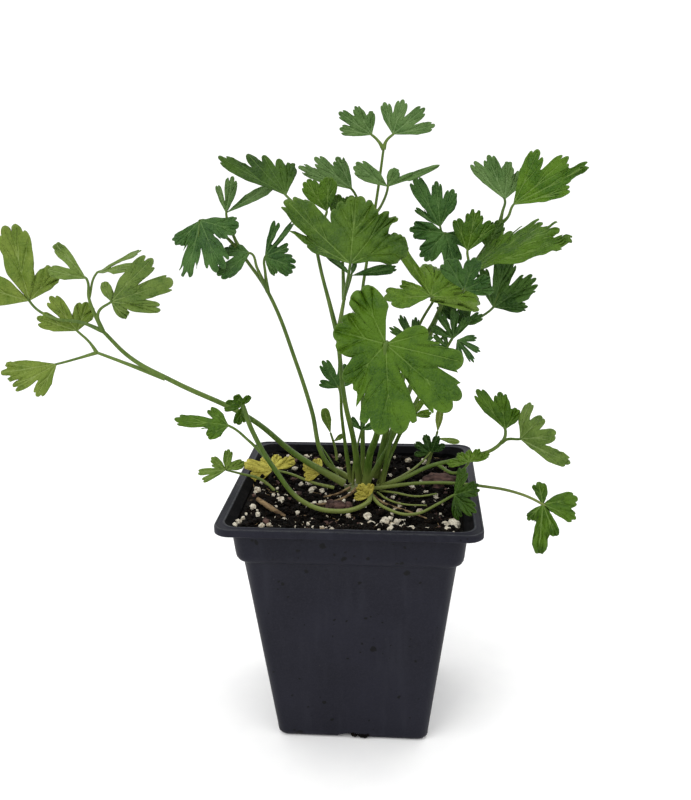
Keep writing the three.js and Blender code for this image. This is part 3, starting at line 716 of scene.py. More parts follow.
# ---- stalks ---------------------------------------------------------------------------------
# Routes in millimetres, from the crown outwards: each run is its foot and end radius and its
# points. The first run of a stem is the main stalk.
STEMS = {
    "far_left": [
        ((1.35, 0.75), [(-6, 12, 98), (-25, 9, 111), (-44, 0, 131), (-74, -10, 150), (-89, -13, 160),
                        (-99, -14, 171)]),
        ((0.7, 0.5), [(-99, -14, 171), (-107, -13, 174), (-122, -10, 176), (-130, -8, 181)]),
        ((0.7, 0.5), [(-99, -14, 171), (-103, -15, 184), (-102, -14, 192)]),
        ((0.7, 0.5), [(-99, -14, 171), (-100, -15, 178), (-95, -17, 183)]),
        ((0.8, 0.6), [(-76, -11, 151), (-94, -11, 158), (-104, -9, 161)]),
        ((0.6, 0.5), [(-104, -9, 161), (-107, -8, 165), (-111, -8, 169)]),
        ((0.6, 0.5), [(-104, -9, 161), (-113, -7, 158), (-122, -6, 157)]),
    ],
    "upper_left": [
        ((1.1, 0.7), [(-5, 17, 99), (-14, 13, 108), (-20, 15, 131), (-26, 17, 150), (-38, 20, 181),
                      (-48, 21, 196)]),
        ((0.8, 0.5), [(-48, 21, 196), (-52, 22, 204), (-55, 22, 212)]),
        ((0.7, 0.5), [(-48, 21, 196), (-57, 23, 205), (-64, 22, 211)]),
        ((0.7, 0.5), [(-38, 20, 181), (-42, 19, 191), (-43, 18, 197)]),
        ((0.7, 0.5), [(-38, 20, 181), (-39, 21, 189), (-40, 21, 196)]),
    ],
    "centre_front": [
        ((1.3, 0.9), [(1, 9, 100), (-1, 2, 122), (-4, -3, 140), (-6, -10, 169)]),
        ((0.8, 0.55), [(-6, -10, 169), (-3, -15, 184), (0, -22, 197)]),
        ((0.8, 0.5), [(-6, -10, 169), (-11, -9, 189), (-19, -4, 215), (-25, 0, 221)]),
        ((0.7, 0.5), [(-15.6, -6, 204), (-14, -3, 210), (-12, 0, 215)]),
        ((0.7, 0.5), [(-3, -14, 184), (-4, -6, 198), (-4, 4, 209)]),
    ],
    "tall": [
        ((0.9, 0.55), [(2, 19, 100), (2, 20, 150), (2, 20, 180), (4, 20, 194), (9, 17, 225),
                       (11, 15, 239)]),
        ((0.7, 0.5), [(11, 15, 239), (9, 15, 242), (7, 15, 244)]),
        ((0.7, 0.5), [(11, 15, 239), (12, 15, 242), (14, 15, 244)]),
        ((0.6, 0.5), [(5, 19, 202), (2, 17, 212), (-1, 16, 222)]),
        ((0.6, 0.5), [(6, 18, 212), (10, 13, 217), (13, 9, 223)]),
    ],
    "big_front": [
        ((1.6, 1.1), [(4, 6, 99), (6, 0, 116), (9, -6, 126), (11, -14, 138), (13, -28, 158),
                      (14, -37, 173)]),
    ],
    "upper_right": [
        ((1.2, 0.65), [(7, 20, 99), (27, 22, 151), (37, 22, 178), (49, 21, 194), (58, 20, 209)]),
        ((0.7, 0.5), [(58, 20, 209), (59, 20, 214), (59, 20, 218)]),
        ((0.7, 0.5), [(58, 20, 209), (61, 18, 212), (64, 17, 215)]),
    ],
    "right": [
        ((1.2, 0.65), [(8, 15, 100), (14, 13, 128), (22, 11, 154), (31, 9, 169), (36, 8, 180),
                       (43, 5, 191)]),
        ((0.65, 0.45), [(19, 12, 146), (26, 15, 168), (34, 16, 183), (37, 14, 196), (34, 12, 207)]),
        ((0.6, 0.5), [(43, 5, 191), (45, 5, 195), (46, 6, 199)]),
        ((0.6, 0.5), [(43, 5, 191), (48, 9, 195), (53, 13, 199)]),
        ((0.6, 0.5), [(36, 8, 180), (34, 3, 182), (32, -1, 183)]),
        ((0.6, 0.5), [(38, 7, 183), (41, 1, 184), (43, -5, 186)]),
    ],
    "mid_right": [
        ((0.85, 0.5), [(5, 10.5, 100), (17, 10, 124), (24, 12, 145), (32, 14, 160), (40, 15, 165),
                       (55, 15, 174)]),
        ((0.6, 0.5), [(40, 15, 165), (42, 14, 166), (44, 13, 168)]),
    ],
    "inner": [
        ((0.85, 0.6), [(-3, 12, 99), (-5, 8, 118), (-6, 4, 132), (-7, 1, 143)]),
    ],
    "low_right": [
        ((0.9, 0.75), [(9, 11, 97), (19, 5, 103), (31, 3, 110), (44, 0, 115), (60, -5, 124)]),
        ((0.6, 0.5), [(34, 3, 111), (42, -4, 110), (47, -6, 111)]),
        ((0.7, 0.5), [(60, -5, 124), (62, -7, 126), (65, -9, 127)]),
    ],
    "drooping_right": [
        ((0.7, 0.55), [(8, 7, 98), (31, -3, 105), (52, -8, 106), (68, -11, 104), (75, -13, 101)]),
    ],
    "rim_right": [
        ((0.7, 0.5), [(5, 4, 97), (14, -13, 97), (25, -21, 98.5), (35, -22, 104), (40, -23, 107)]),
    ],
    "front_loop": [
        ((1.0, 0.95), [(6, 3, 97.6), (5, -8, 97.2), (-6, -16.5, 97), (-20, -18, 101.4), (-31, -20, 116),
                       (-39, -24, 134), (-42, -25, 143)]),
        ((0.6, 0.5), [(-33, -21, 120), (-41, -20, 128), (-47, -20, 134)]),
    ],
}


def section_curve(name, radii):
    """A closed cross-section whose corners stand evenly round, at these radii."""
    data = bpy.data.curves.new(name, "CURVE")
    data.dimensions = "2D"
    spline = data.splines.new("POLY")
    spline.points.add(len(radii) - 1)
    for side, (point, radius) in enumerate(zip(spline.points, radii)):
        turn = 2 * math.pi * side / len(radii)
        point.co = (radius * math.cos(turn), radius * math.sin(turn), 0, 1)
    spline.use_cyclic_u = True
    return into_scene(name, data)


def rib(turn):
    """The radius of a stalk this far round: shallow ribs and one deeper groove."""
    return 1 + 0.045 * math.cos(5 * turn) - 0.16 * math.exp(-(math.sin(turn / 2) / 0.2) ** 2)


RIB_SIDES = 20
SECTION = section_curve("ribbed_section", [rib(2 * math.pi * k / RIB_SIDES) for k in range(RIB_SIDES)])
SLIM_SECTION = section_curve("slim_section", [1] * 5)
RIB_STATIONS = ((0.10, 0.25), (0.32, 0.3))  # share of the blade's length, mm under its surface
RIB_SIZES = (0.8, 0.62, 0.2)  # a stalk's last radii, where it runs on under a blade
STALK_CREASE = 50  # degrees
JUNCTION = 0.5 * MM  # runs that start this near another's end share that point with it


def tube(points, radii, section=SECTION):
    """A tapering stalk through the points, closed at both ends."""
    data = bpy.data.curves.new("run", "CURVE")
    data.dimensions = "3D"
    data.resolution_u = 8 if section is SECTION else 3
    data.use_fill_caps = True
    data.bevel_mode = "OBJECT"
    data.bevel_object = section
    spline = data.splines.new("BEZIER")
    spline.bezier_points.add(len(points) - 1)
    for point, place, radius in zip(spline.bezier_points, points, radii):
        point.co = place
        point.radius = radius
        point.handle_left_type = "AUTO"
        point.handle_right_type = "AUTO"
    run = into_scene("run", data)
    bpy.context.view_layer.update()
    take(run)
    bpy.ops.object.convert(target="MESH")
    return bpy.context.object


def grow_stem(name, runs, seats):
    """Every run of one leaf's stalk; a run that carries blades goes on into their middle veins."""
    ends = twig_ends(runs)
    routes = [in_metres(route) for _, route in runs]
    tails = [[] for _ in runs]
    forks = []
    for start, along, up, length in seats:
        nearest = min(range(len(ends)), key=lambda k: (ends[k] - start).length)
        midrib = [start + along * share * length - up * drop * MM for share, drop in RIB_STATIONS]
        joint = start - up * 0.1 * MM
        if tails[nearest]:
            forks.append(([routes[nearest][-2], start] + midrib, runs[nearest][0][1]))
        elif any((route[0] - ends[nearest]).length < JUNCTION for route in routes):
            tails[nearest] = [joint] + midrib
        else:
            routes[nearest][-1] = joint
            tails[nearest] = midrib
    parts = []
    for k, ((foot, end), _) in enumerate(runs):
        count = len(routes[k]) - 1
        sizes = [foot + (end - foot) * step / count for step in range(count + 1)]
        sizes[0] *= 1.3 if k == 0 else 1.35
        sizes += [share * end for share in RIB_SIZES][-len(tails[k]):] if tails[k] else []
        parts.append(tube(routes[k] + tails[k], [size * MM for size in sizes]))
    for route, end in forks:
        parts.append(tube(route, [size * end * MM for size in (1.0, 0.9, 0.6, 0.2)]))
    piece = join(parts, f"stalk_{name}")
    dress(piece, STALK_SKIN)
    smooth(piece, STALK_CREASE)
    finish_piece(piece, [f"stem_{name}"])


def twig_ends(runs):
    """Where each run of a stem ends."""
    return [Vector(route[-1]) * MM for _, route in runs]


# ---- every blade ----------------------------------------------------------------------------
# For each stalk its blades in order: tone, lobes, and what differs from an ordinary blade.
BLADES = {
    "far_left": [
        ("pale", [(-58, 0.85, 24, 3, 0.16), (4, 1.08, 17, 4, 0.14), (54, 0.62, 18, 3, 0)], {}),
        ("pale_dark", [(-28, 0.85, 14, 3, 0.25), (8, 1.05, 10, 2, 0)], {}),
        ("pale_dark", [(18, 1.0, 12, 3, 0.3), (46, 1.0, 12, 2, 0)], {}),
        ("pale_mid", [(-75, 0.3, 25, 2, 0.12), (-8, 1.02, 13, 3, 0.55), (14, 1.15, 13, 3, 0.5),
                      (34, 0.85, 10, 2, 0.2), (75, 0.33, 25, 2, 0)], {}),
        ("pale", [(-24, 0.9, 18, 3, 0.4), (10, 0.95, 16, 3, 0.3), (66, 0.68, 28, 3, 0)], {}),
        ("pale", [(-50, 0.74, 15, 3, 0.38), (-22, 0.95, 10, 2, 0.75), (0, 1.04, 16, 3, 0)], {}),
    ],
    "upper_left": [
        ("dark", [(-70, 0.72, 26, 4, 0.35), (-24, 1.08, 17, 4, 0.5), (6, 1.1, 14, 4, 0.45),
                  (38, 0.6, 18, 3, 0)], {"bite": 0.2}),
        ("dark", [(-8, 1.08, 20, 4, 0.35), (60, 0.7, 30, 3, 0)], {}),
        ("dark", [(-32, 0.92, 12, 2, 0.3), (-10, 1.2, 9, 2, 0.4), (14, 0.8, 12, 2, 0.6),
                  (46, 0.98, 22, 5, 0.4), (88, 0.5, 18, 2, 0)], {"bite": 0.2}),
        ("blue", [(-34, 0.75, 11, 2, 0.3), (-4, 1.05, 13, 3, 0.25), (36, 1.75, 7, 3, 0)], {}),
    ],
    "centre_front": [
        ("olive", [(-68, 0.62, 10, 2, 0.58), (-50, 1.2, 15, 5, 0.72), (-2, 0.9, 28, 6, 0.84),
                   (32, 0.86, 12, 2, 0.58), (62, 0.76, 19, 4, 0)], {"bite": 0.09, "cup": -22}),
        ("forest", [(-20, 1.28, 9, 3, 0.9), (-2, 0.96, 9, 1, 0.8), (12, 0.8, 9, 1, 0.66),
                    (30, 0.68, 10, 1, 0.58), (48, 0.62, 13, 2, 0)], {}),
        ("fresh", [(-20, 1.14, 20, 4, 0.95), (18, 1.05, 22, 4, 0)], {"bite": 0.1}),
        ("fresh", [(-20, 0.97, 22, 4, 0.85), (14, 1.0, 22, 4, 0)], {"bite": 0.1}),
        ("dark", [(-56, 0.98, 9, 3, 0.2), (8, 0.4, 12, 2, 0.2), (72, 1.25, 9, 4, 0)],
         {"seat": ((0, -16, 193.5), (2, -13, 207), (0, -1, 0.25))}),
    ],
    "tall": [
        ("blue", [(-20, 0.9, 13, 3, 0.6), (2, 1.06, 12, 3, 0.65), (26, 0.85, 13, 3, 0.6),
                  (58, 0.6, 14, 2, 0)], {}),
        ("blue", [(-70, 0.8, 15, 3, 0.55), (-36, 0.85, 16, 3, 0.62), (0, 1.0, 13, 3, 0.6),
                  (27, 1.08, 10, 3, 0)], {}),
        ("blue", [(-4, 1.02, 8, 3, 0.75), (14, 0.85, 12, 3, 0.6), (42, 0.6, 18, 3, 0)], {}),
        ("blue", [(-52, 1.2, 18, 4, 0.35), (30, 0.6, 20, 2, 0.3), (70, 1.7, 7, 2, 0)], {}),
    ],
    "big_front": [
        ("fresh", [(-112, 0.5, 20, 1, 0.48), (-84, 0.9, 15, 1, 0.62), (-56, 1.06, 24, 4, 0.32),
                   (-10, 1.04, 30, 4, 0.58), (34, 0.66, 22, 2, 0.26), (98, 0.62, 34, 3, 0.44),
                   (148, 0.72, 22, 2, 0)],
         {"bite": 0.12, "droop": 8, "cup": -10, "curl": 0.03, "puff": 0.024}),
    ],
    "upper_right": [
        ("blue", [(-2, 0.98, 10, 2, 0.88), (18, 0.92, 13, 3, 0.62), (44, 0.74, 12, 2, 0.5),
                  (72, 0.64, 16, 3, 0)], {}),
        ("bright", [(-26, 0.86, 14, 3, 0.62), (-1, 1.06, 10, 3, 0.95), (12, 1.28, 6, 2, 0.9),
                    (24, 0.92, 8, 2, 0)], {}),
    ],
    "right": [
        ("fresh", [(-34, 0.6, 13, 3, 0.5), (-17, 0.84, 12, 4, 0.74), (-2, 0.95, 10, 4, 0.85),
                   (11, 1.06, 9, 4, 0)], {"curl": 0.02}),
        ("fresh", [(-30, 0.86, 15, 2, 0.7), (0, 1.04, 18, 4, 0.8), (30, 0.95, 14, 2, 0)], {}),
        ("forest", [(-44, 0.88, 20, 3, 0.6), (0, 1.02, 22, 4, 0.6), (42, 0.9, 18, 3, 0)], {}),
        ("dark", [(-44, 0.62, 8, 2, 0.35), (-19, 1.1, 12, 3, 0.62), (4, 0.88, 10, 3, 0.6),
                  (28, 0.76, 14, 3, 0)], {}),
        ("dark", [(-78, 0.9, 22, 3, 0.6), (-20, 0.95, 24, 4, 0.6), (40, 0.95, 24, 4, 0.6),
                  (92, 0.95, 22, 3, 0)], {}),
        ("glow", [(-8, 0.95, 20, 3, 0.45), (28, 0.62, 16, 2, 0.4), (70, 1.18, 8, 2, 0.35),
                  (108, 0.86, 22, 3, 0.62), (146, 1.1, 16, 3, 0.6), (174, 1.2, 16, 3, 0)],
         {"curl": 0.12}),
        ("dark", [(-28, 1.2, 20, 3, 0.7), (12, 1.1, 18, 3, 0.6), (60, 0.8, 18, 3, 0.5),
                  (95, 0.85, 16, 3, 0)], {}),
    ],
    "mid_right": [
        ("deep", [(-38, 0.8, 13, 3, 0.35), (-6, 1.02, 17, 5, 0.5), (34, 0.95, 18, 5, 0.4),
                  (68, 0.64, 12, 3, 0)], {"bite": 0.2}),
        ("deep", [(-60, 1.4, 20, 3, 0.4), (-10, 1.1, 20, 3, 0.4), (40, 0.9, 20, 3, 0)], {"bite": 0.2}),
    ],
    "inner": [
        ("dark", [(-30, 0.6, 16, 2, 0.4), (10, 0.92, 16, 3, 0.4), (50, 0.7, 16, 2, 0.3),
                  (100, 0.56, 16, 2, 0)], {"bite": 0.2}),
    ],
    "low_right": [
        ("fresh", [(-3, 0.98, 12, 3, 0.7), (24, 0.76, 16, 3, 0.5), (62, 0.48, 20, 2, 0)], {}),
        ("pale_dark", [(-84, 1.0, 12, 3, 0.55), (-42, 0.74, 22, 2, 0.68), (2, 0.92, 18, 2, 0.9),
                       (31, 1.6, 9, 3, 0)], {"bite": 0.09}),
        ("glow", [(-76, 1.3, 18, 3, 0.6), (-36, 1.0, 20, 3, 0.7), (4, 0.85, 20, 3, 0.7),
                  (44, 1.0, 20, 3, 0.6), (80, 1.25, 16, 3, 0)],
         {"seat": ((47, -6, 115.5), (46, -8, 122.5), (0.1, -0.9, 0.5)), "bite": 0.18}),
    ],
    "drooping_right": [
        ("fresh", [(-134, 0.72, 24, 3, 0.2), (-50, 0.98, 22, 3, 0.82), (-13, 0.95, 18, 3, 0.3),
                   (36, 1.0, 14, 2, 0.9), (60, 1.5, 14, 4, 0.5), (96, 0.62, 17, 3, 0)], {"droop": 0}),
    ],
    "rim_right": [
        ("forest", [(-50, 1.1, 20, 3, 0.4), (-4, 1.25, 18, 4, 0.4), (40, 1.15, 20, 3, 0.4),
                    (90, 0.9, 20, 3, 0)], {"bite": 0.22}),
    ],
    "front_loop": [
        ("fresh", [(-134, 1.4, 20, 3, 0.4), (-54, 0.9, 20, 2, 0.5), (-14, 0.96, 18, 2, 0.7),
                   (20, 0.95, 18, 2, 0.6), (63, 0.75, 20, 2, 0)], {"droop": 0}),
        ("fresh", [(-42, 0.42, 22, 2, 0.3), (-6, 0.94, 12, 3, 0.42), (30, 0.5, 16, 2, 0)], {}),
    ],
}

for stem_name, blades in BLADES.items():
    nodes = [f"leaf_{stem_name}_{number}" for number in range(1, len(blades) + 1)]
    ends = twig_ends(STEMS[stem_name])
    seats = [seat_between(*habit.pop("seat")) if "seat" in habit else blade_seat(node, ends)
             for node, (_, _, habit) in zip(nodes, blades)]
    grow_stem(stem_name, STEMS[stem_name], seats)
    for seed, (node, seat, (tone, lobes, habit)) in enumerate(zip(nodes, seats, blades), 1):
        blade = grow_blade(node.replace("leaf", "blade"), seat, tone, lobes, seed=seed, **habit)
        finish_piece(blade, [node])

# ---- pot ------------------------------------------------------------------------------------


def rounded_square(width, corner):
    """A flat square face with rounded corners, left open in edit mode with its edge selected."""
    rest_tools()
    bpy.ops.mesh.primitive_plane_add(size=width)
    piece = bpy.context.object
    edit(piece)
    bpy.ops.mesh.bevel(offset=corner, segments=7, affect="VERTICES")
    bpy.ops.mesh.select_all(action="SELECT")
    return piece


def raise_wall(rise, width, was):
    """Extrudes the selected face up by rise and resizes it from one width to the next."""
    bpy.ops.mesh.extrude_region_move(TRANSFORM_OT_translate={"value": (0, 0, rise)})
    scale = width / was
    bpy.ops.transform.resize(value=(scale, scale, 1))


def nursery_pot():
    """The thin square pot: foot, tapering body, shoulder, band, flange, and back down inside."""
    band_foot = POT_HEIGHT - BAND_HEIGHT
    flange_foot = POT_HEIGHT - FLANGE
    ledge_edge = RIM_WIDTH - 2 * LEDGE
    foot_top, foot_spread = 5.5 * MM, 0.6 * MM
    levels = [(z * MM, BODY_FOOT + spread * MM) for z, spread in
              ((0.15, -3.2), (0.6, -1.5), (1.4, -0.4), (2.6, 0.1), (5.5, 0.6))]
    for share in (0.2, 0.4, 0.6, 0.8):
        z = foot_top + share * (band_foot - foot_top)
        levels.append((z, BODY_FOOT + foot_spread + share * (BODY_TOP - BODY_FOOT - foot_spread)))
    levels += [
        (band_foot - 0.8 * MM, BODY_TOP),
        (band_foot - 0.1 * MM, BODY_TOP + 0.7 * MM),
        (band_foot + 0.2 * MM, BODY_TOP + 2.2 * MM),
        (band_foot + 1.0 * MM, BAND_FOOT - 1.6 * MM),
        (band_foot + 2.2 * MM, BAND_FOOT - 0.5 * MM),
        (band_foot + 3.8 * MM, BAND_FOOT),
        (flange_foot - 0.3 * MM, BAND_TOP - 0.1 * MM),
        (flange_foot, BAND_TOP + 0.4 * MM),
        (flange_foot, RIM_WIDTH - 0.6 * MM),
        (flange_foot + 0.3 * MM, RIM_WIDTH),
        (POT_HEIGHT - 0.5 * MM, RIM_WIDTH),
        (POT_HEIGHT - 0.1 * MM, RIM_WIDTH - 0.3 * MM),
        (POT_HEIGHT, RIM_WIDTH - 0.8 * MM),
        (POT_HEIGHT - 0.1 * MM, RIM_WIDTH - 1.3 * MM),
        (POT_HEIGHT - 0.35 * MM, RIM_WIDTH - 1.9 * MM),
        (POT_HEIGHT - 0.35 * MM, ledge_edge + 1.4 * MM),
        (POT_HEIGHT - 0.05 * MM, ledge_edge + 0.8 * MM),
        (POT_HEIGHT, ledge_edge + 0.3 * MM),
        (POT_HEIGHT - 0.25 * MM, ledge_edge - 0.4 * MM),
        (POT_HEIGHT - 1.0 * MM, ledge_edge - 2.6 * MM),
        (flange_foot + 0.6 * MM, BAND_TOP - 2 * WALL),
        (band_foot + 3.4 * MM, BAND_FOOT - 2 * WALL),
        (band_foot - 0.6 * MM, BODY_TOP - 2 * WALL),
        (foot_top, BODY_FOOT - 2 * WALL),
        (2.0 * MM, BODY_FOOT - 9 * MM),
    ]
    foot = BODY_FOOT - 4.4 * MM
    piece = rounded_square(foot, CORNER * foot / BODY_TOP)
    height, was = 0.0, foot
    for z, width in levels:
        raise_wall(z - height, width, was)
        height, was = z, width
    leave_edit()
    return piece


NOTCH_RADIUS = 5.2 * MM
NOTCH_STRETCH = (1.2, 0.42, 1, 1)  # wider than high


def cut_drains(pot):
    """A low arched notch in the middle of each bottom edge."""
    for side in range(4):
        rest_tools()
        bpy.ops.mesh.primitive_cylinder_add(vertices=40, radius=NOTCH_RADIUS, depth=12 * MM)
        cutter = bpy.context.object
        turn = Matrix.Rotation(side * math.pi / 2, 4, "Z")
        shift = Matrix.Translation((0, -BODY_FOOT / 2 + 1 * MM, 0.4 * MM))
        tip = Matrix.Rotation(math.pi / 2, 4, "X")
        cutter.matrix_world = turn @ shift @ tip @ Matrix.Diagonal(NOTCH_STRETCH)
        settle(cutter)
        add_modifier(pot, "BOOLEAN", operation="DIFFERENCE", object=cutter, solver="EXACT")
        bpy.data.objects.remove(cutter)


POT = nursery_pot()
cut_drains(POT)
POT.name = "nursery_pot"
POT.data.materials.append(POT_PLASTIC)
POT.data.materials.append(INSIDE_SHADE_PLASTIC)
# Inward faces below the rim get the inside material, which paints their shade.
for face in POT.data.polygons:
    inward = face.center.x * face.normal.x + face.center.y * face.normal.y < 0
    if inward and face.center.z < POT_HEIGHT - 0.6 * MM:
        face.material_index = 1
smooth(POT, 28)
finish_piece(POT, ["pot"])

# ---- soil and what lies on it ---------------------------------------------------------------


def ease(value):
    """Rises smoothly from 0 to 1 while the value does."""
    value = max(0.0, min(1.0, value))
    return value * value * (3 - 2 * value)


HIGHEST_BANK = 6.0  # mm
SOIL_GRID = 150
SOIL_SIDE = 9 * MM  # how far the soil's sides run down inside the pot


def soil_height(x, y):
    """The lie of the soil: banked up against the left, back and front walls, lower on the right."""
    x_mm, y_mm = x / MM, y / MM
    left, back, front = (-x_mm - 22) / 20, (y_mm - 20) / 20, (-y_mm - 24) / 16
    bank = max(HIGHEST_BANK * ease(left), 4.8 * ease(back), 4.2 * ease(front))
    bank += 1.0 * ease((x_mm - 34) / 9) - 1.6 * ease((x_mm - 30) / 14) * ease((y_mm + 30) / 20)
    coarse = 0.9 * noise.noise(Vector((x, y, 3)) * 55)
    return SOIL_TOP + min(bank, HIGHEST_BANK) * MM + (coarse - 0.4) * MM


def soil_bed():
    """The crumbly surface of the soil, with its sides running down inside the pot."""
    width = BAND_TOP - 2.1 * WALL
    straight = width / 2 - CORNER
    rest_tools()
    bpy.ops.mesh.primitive_grid_add(x_subdivisions=SOIL_GRID, y_subdivisions=SOIL_GRID, size=width,
                                    location=(0, 0, SOIL_TOP))
    piece = bpy.context.object
    settle(piece)
    for corner in piece.data.vertices:
        x, y = corner.co.x, corner.co.y
        over = Vector((max(0.0, abs(x) - straight), max(0.0, abs(y) - straight)))
        if over.length > CORNER:
            over *= CORNER / over.length
            x = math.copysign(straight + over.x, x)
            y = math.copysign(straight + over.y, y)
            corner.co.x, corner.co.y = x, y
        rough = noise.fractal(Vector((x, y, 0)) * 210, 0.8, 2.2, 4)
        corner.co.z = soil_height(x, y) + 0.6 * rough * MM
    edit(piece)
    bpy.ops.mesh.extrude_region_move(TRANSFORM_OT_translate={"value": (0, 0, -SOIL_SIDE)})
    bpy.ops.transform.resize(value=(0.97, 0.97, 0.0))
    leave_edit()
    piece.name = "soil_bed"
    dress(piece, SOIL_MIX)
    smooth_all(piece)
    finish_piece(piece, ["potting_soil"])


soil_bed()


def lump(name, seed, subdivisions=2, roughness=0.28):
    """An angular grain of unit radius."""
    rest_tools()
    bpy.ops.mesh.primitive_ico_sphere_add(subdivisions=subdivisions, radius=1)
    grain = bpy.context.object
    for corner in grain.data.vertices:
        push = noise.noise(corner.co * 1.3 + Vector((seed * 7.3, 0, 0)))
        push += 0.5 * noise.noise(corner.co * 3.1 + Vector((0, seed * 3.7, 0)))
        corner.co *= 1 + 2.0 * roughness * push
    grain.name = name
    return grain


def lay(source, name, x, y, size, turn, tilt=0.0, sink=0.25, flat=0.75, slim=1.0):
    """Copies a shape onto the soil, sunk a little into it."""
    grain = copy_piece(source, name)
    turning = Matrix.Rotation(turn, 4, "Z") @ Matrix.Rotation(tilt, 4, "X")
    scale = Matrix.Diagonal((size, size * slim, size * flat, 1))
    z = soil_height(x, y) + (0.9 - sink) * size * flat
    grain.data.transform(Matrix.Translation((x, y, z)) @ turning @ scale)
    return grain


FULL_TURN = 6.28
FEW_LARGE = 2.4  # the higher, the fewer large ones among the shapes


def scatter(name, sources, count, sizes, seed, skin, fixed=(), sink=0.25, flat=0.75):
    """Shapes strewn over the soil, and some laid where they are wanted, as one piece."""
    chance = random.Random(seed)
    parts = []
    for _ in range(count):
        source = chance.choice(sources)
        size = sizes[0] + (sizes[1] - sizes[0]) * chance.random() ** FEW_LARGE
        x, y = chance.uniform(-BED, BED), chance.uniform(-BED, BED)
        parts.append(lay(source, name, x, y, size, chance.uniform(0, FULL_TURN),
                         chance.uniform(-0.6, 0.6), sink, flat, chance.uniform(0.65, 1)))
    for x, y, size in fixed:
        source = chance.choice(sources)
        parts.append(lay(source, name, x * MM, y * MM, size * MM, chance.uniform(0, FULL_TURN),
                         tilt=0.3, sink=0.15, flat=0.85, slim=0.85))
    piece = join(parts, name)
    dress(piece, skin)
    finish_piece(piece, [])


def fibre(seed):
    """A short curled fibre of unit length, lying flat."""
    chance = random.Random(seed)
    points = [Vector((share - 0.5, 0.16 * chance.uniform(-1, 1), 0.05 * chance.uniform(0, 1)))
              for share in (0, 0.3, 0.65, 1)]
    return tube(points, [0.02, 0.03, 0.026, 0.012], SLIM_SECTION)


BED = BAND_FOOT / 2 - 2.5 * MM
GRAINS = [lump(f"grain_{k}", k) for k in range(6)]
FIBRES = [fibre(seed) for seed in range(6)]
# The larger grains: x, y and radius, in millimetres.
BIG_PERLITE = [(-43, -38, 1.3), (-42, -34, 1.0), (-44, -41, 1.1), (-34, -38, 1.4), (16, -38, 1.5),
               (24, -36, 1.6), (30, -37, 1.2), (-3, -30, 1.1), (34, 6, 1.3), (24, 14, 1.5),
               (28, 20, 1.2), (-10, 30, 1.2), (2, 38, 1.0), (-41, -7, 1.7), (-31, -8, 1.8),
               (6, -19, 1.9), (8, -25, 1.6), (4, -28, 1.3), (13, -22, 1.9), (18, -22, 1.6),
               (21, -26, 1.2), (40, -30, 2.7), (37, -24, 1.6), (27, -12, 1.4), (22, 37, 1.4),
               (29, 36, 1.5), (-22, 17, 1.8), (-20, 10, 1.6), (-40, -24, 1.5), (-37, -29, 1.2),
               (-30, 30, 1.3)]
CHIPS = [(-10, -8, 2.6), (-7, -9, 3.0), (-3, -8, 2.2), (-33, -35, 2.0)]
scatter("soil_crumbs", GRAINS, 1900, (0.35 * MM, 1.8 * MM), 11, SOIL_MIX)
scatter("perlite_grains", GRAINS, 330, (0.22 * MM, 1.35 * MM), 5, PERLITE, BIG_PERLITE, 0.15, 0.8)
scatter("bark_chips", GRAINS, 150, (0.35 * MM, 1.8 * MM), 23, BARK, CHIPS, 0.2, 0.5)
scatter("peat_fibres", FIBRES, 170, (3 * MM, 11 * MM), 31, STRAW, sink=0.9, flat=0.5)


def bark_piece():
    """One larger flat piece of bark towards the back right corner."""
    source = lump("bark_piece", 9, 4, 0.22)
    piece = lay(source, "bark_piece", 36 * MM, 22 * MM, 7.2 * MM, turn=0.35, tilt=0.35, sink=0.2,
                flat=0.36, slim=0.66)
    bpy.data.objects.remove(source)
    dress(piece, BARK)
    smooth_all(piece)
    finish_piece(piece, [])


def dead_growth():
    """A broken twig and old brown leaf stalks lying on the soil."""
    routes = [
        ([(-39, -19, 2.6), (-34, -21, 1.9), (-27, -24, 1.6)], [0.9, 1.15, 0.8]),
        ([(-25, -2, 0.6), (-17, -6, 1.0), (-9, -4, 1.4), (-3, 1, 2.2), (0, 6, 3.4)],
         [0.35, 0.55, 0.6, 0.6, 0.7]),
        ([(-14, 2, 0.7), (-8, 4, 1.3), (-3, 8, 2.6)], [0.3, 0.5, 0.6]),
        ([(30, -18, 0.8), (22, -12, 0.9), (12, -4, 1.4), (5, 6, 2.4)], [0.3, 0.4, 0.5, 0.6]),
    ]
    parts = []
    for points, sizes in routes:
        places = [Vector((x * MM, y * MM, soil_height(x * MM, y * MM) + z * MM))
                  for x, y, z in points]
        parts.append(tube(places, [size * MM for size in sizes]))
    piece = join(parts, "dead_growth")
    dress(piece, STRAW)
    smooth(piece, STALK_CREASE)
    finish_piece(piece, [])


def drain_tuft():
    """A few damp crumbs caught in the front drain notch."""
    chance = random.Random(41)
    parts = []
    for _ in range(16):
        size = chance.uniform(0.45, 1.2) * MM
        place = (chance.uniform(-0.5, 6.5) * MM, 0.7 * MM - BODY_FOOT / 2,
                 size + chance.uniform(0.1, 1.8) * MM)
        crumb = copy_piece(chance.choice(GRAINS), "drain_tuft")
        crumb.data.transform(Matrix.Translation(place) @ Matrix.Diagonal((size, size, size * 0.9, 1)))
        parts.append(crumb)
    piece = join(parts, "drain_tuft")
    dress(piece, SOIL_MIX)
    finish_piece(piece, [])


bark_piece()
dead_growth()
drain_tuft()
for spare in GRAINS + FIBRES:
    bpy.data.objects.remove(spare)

# ---- crown ----------------------------------------------------------------------------------


CROWN_RADII = (6.5 * MM, 6.0 * MM, 3.6 * MM)


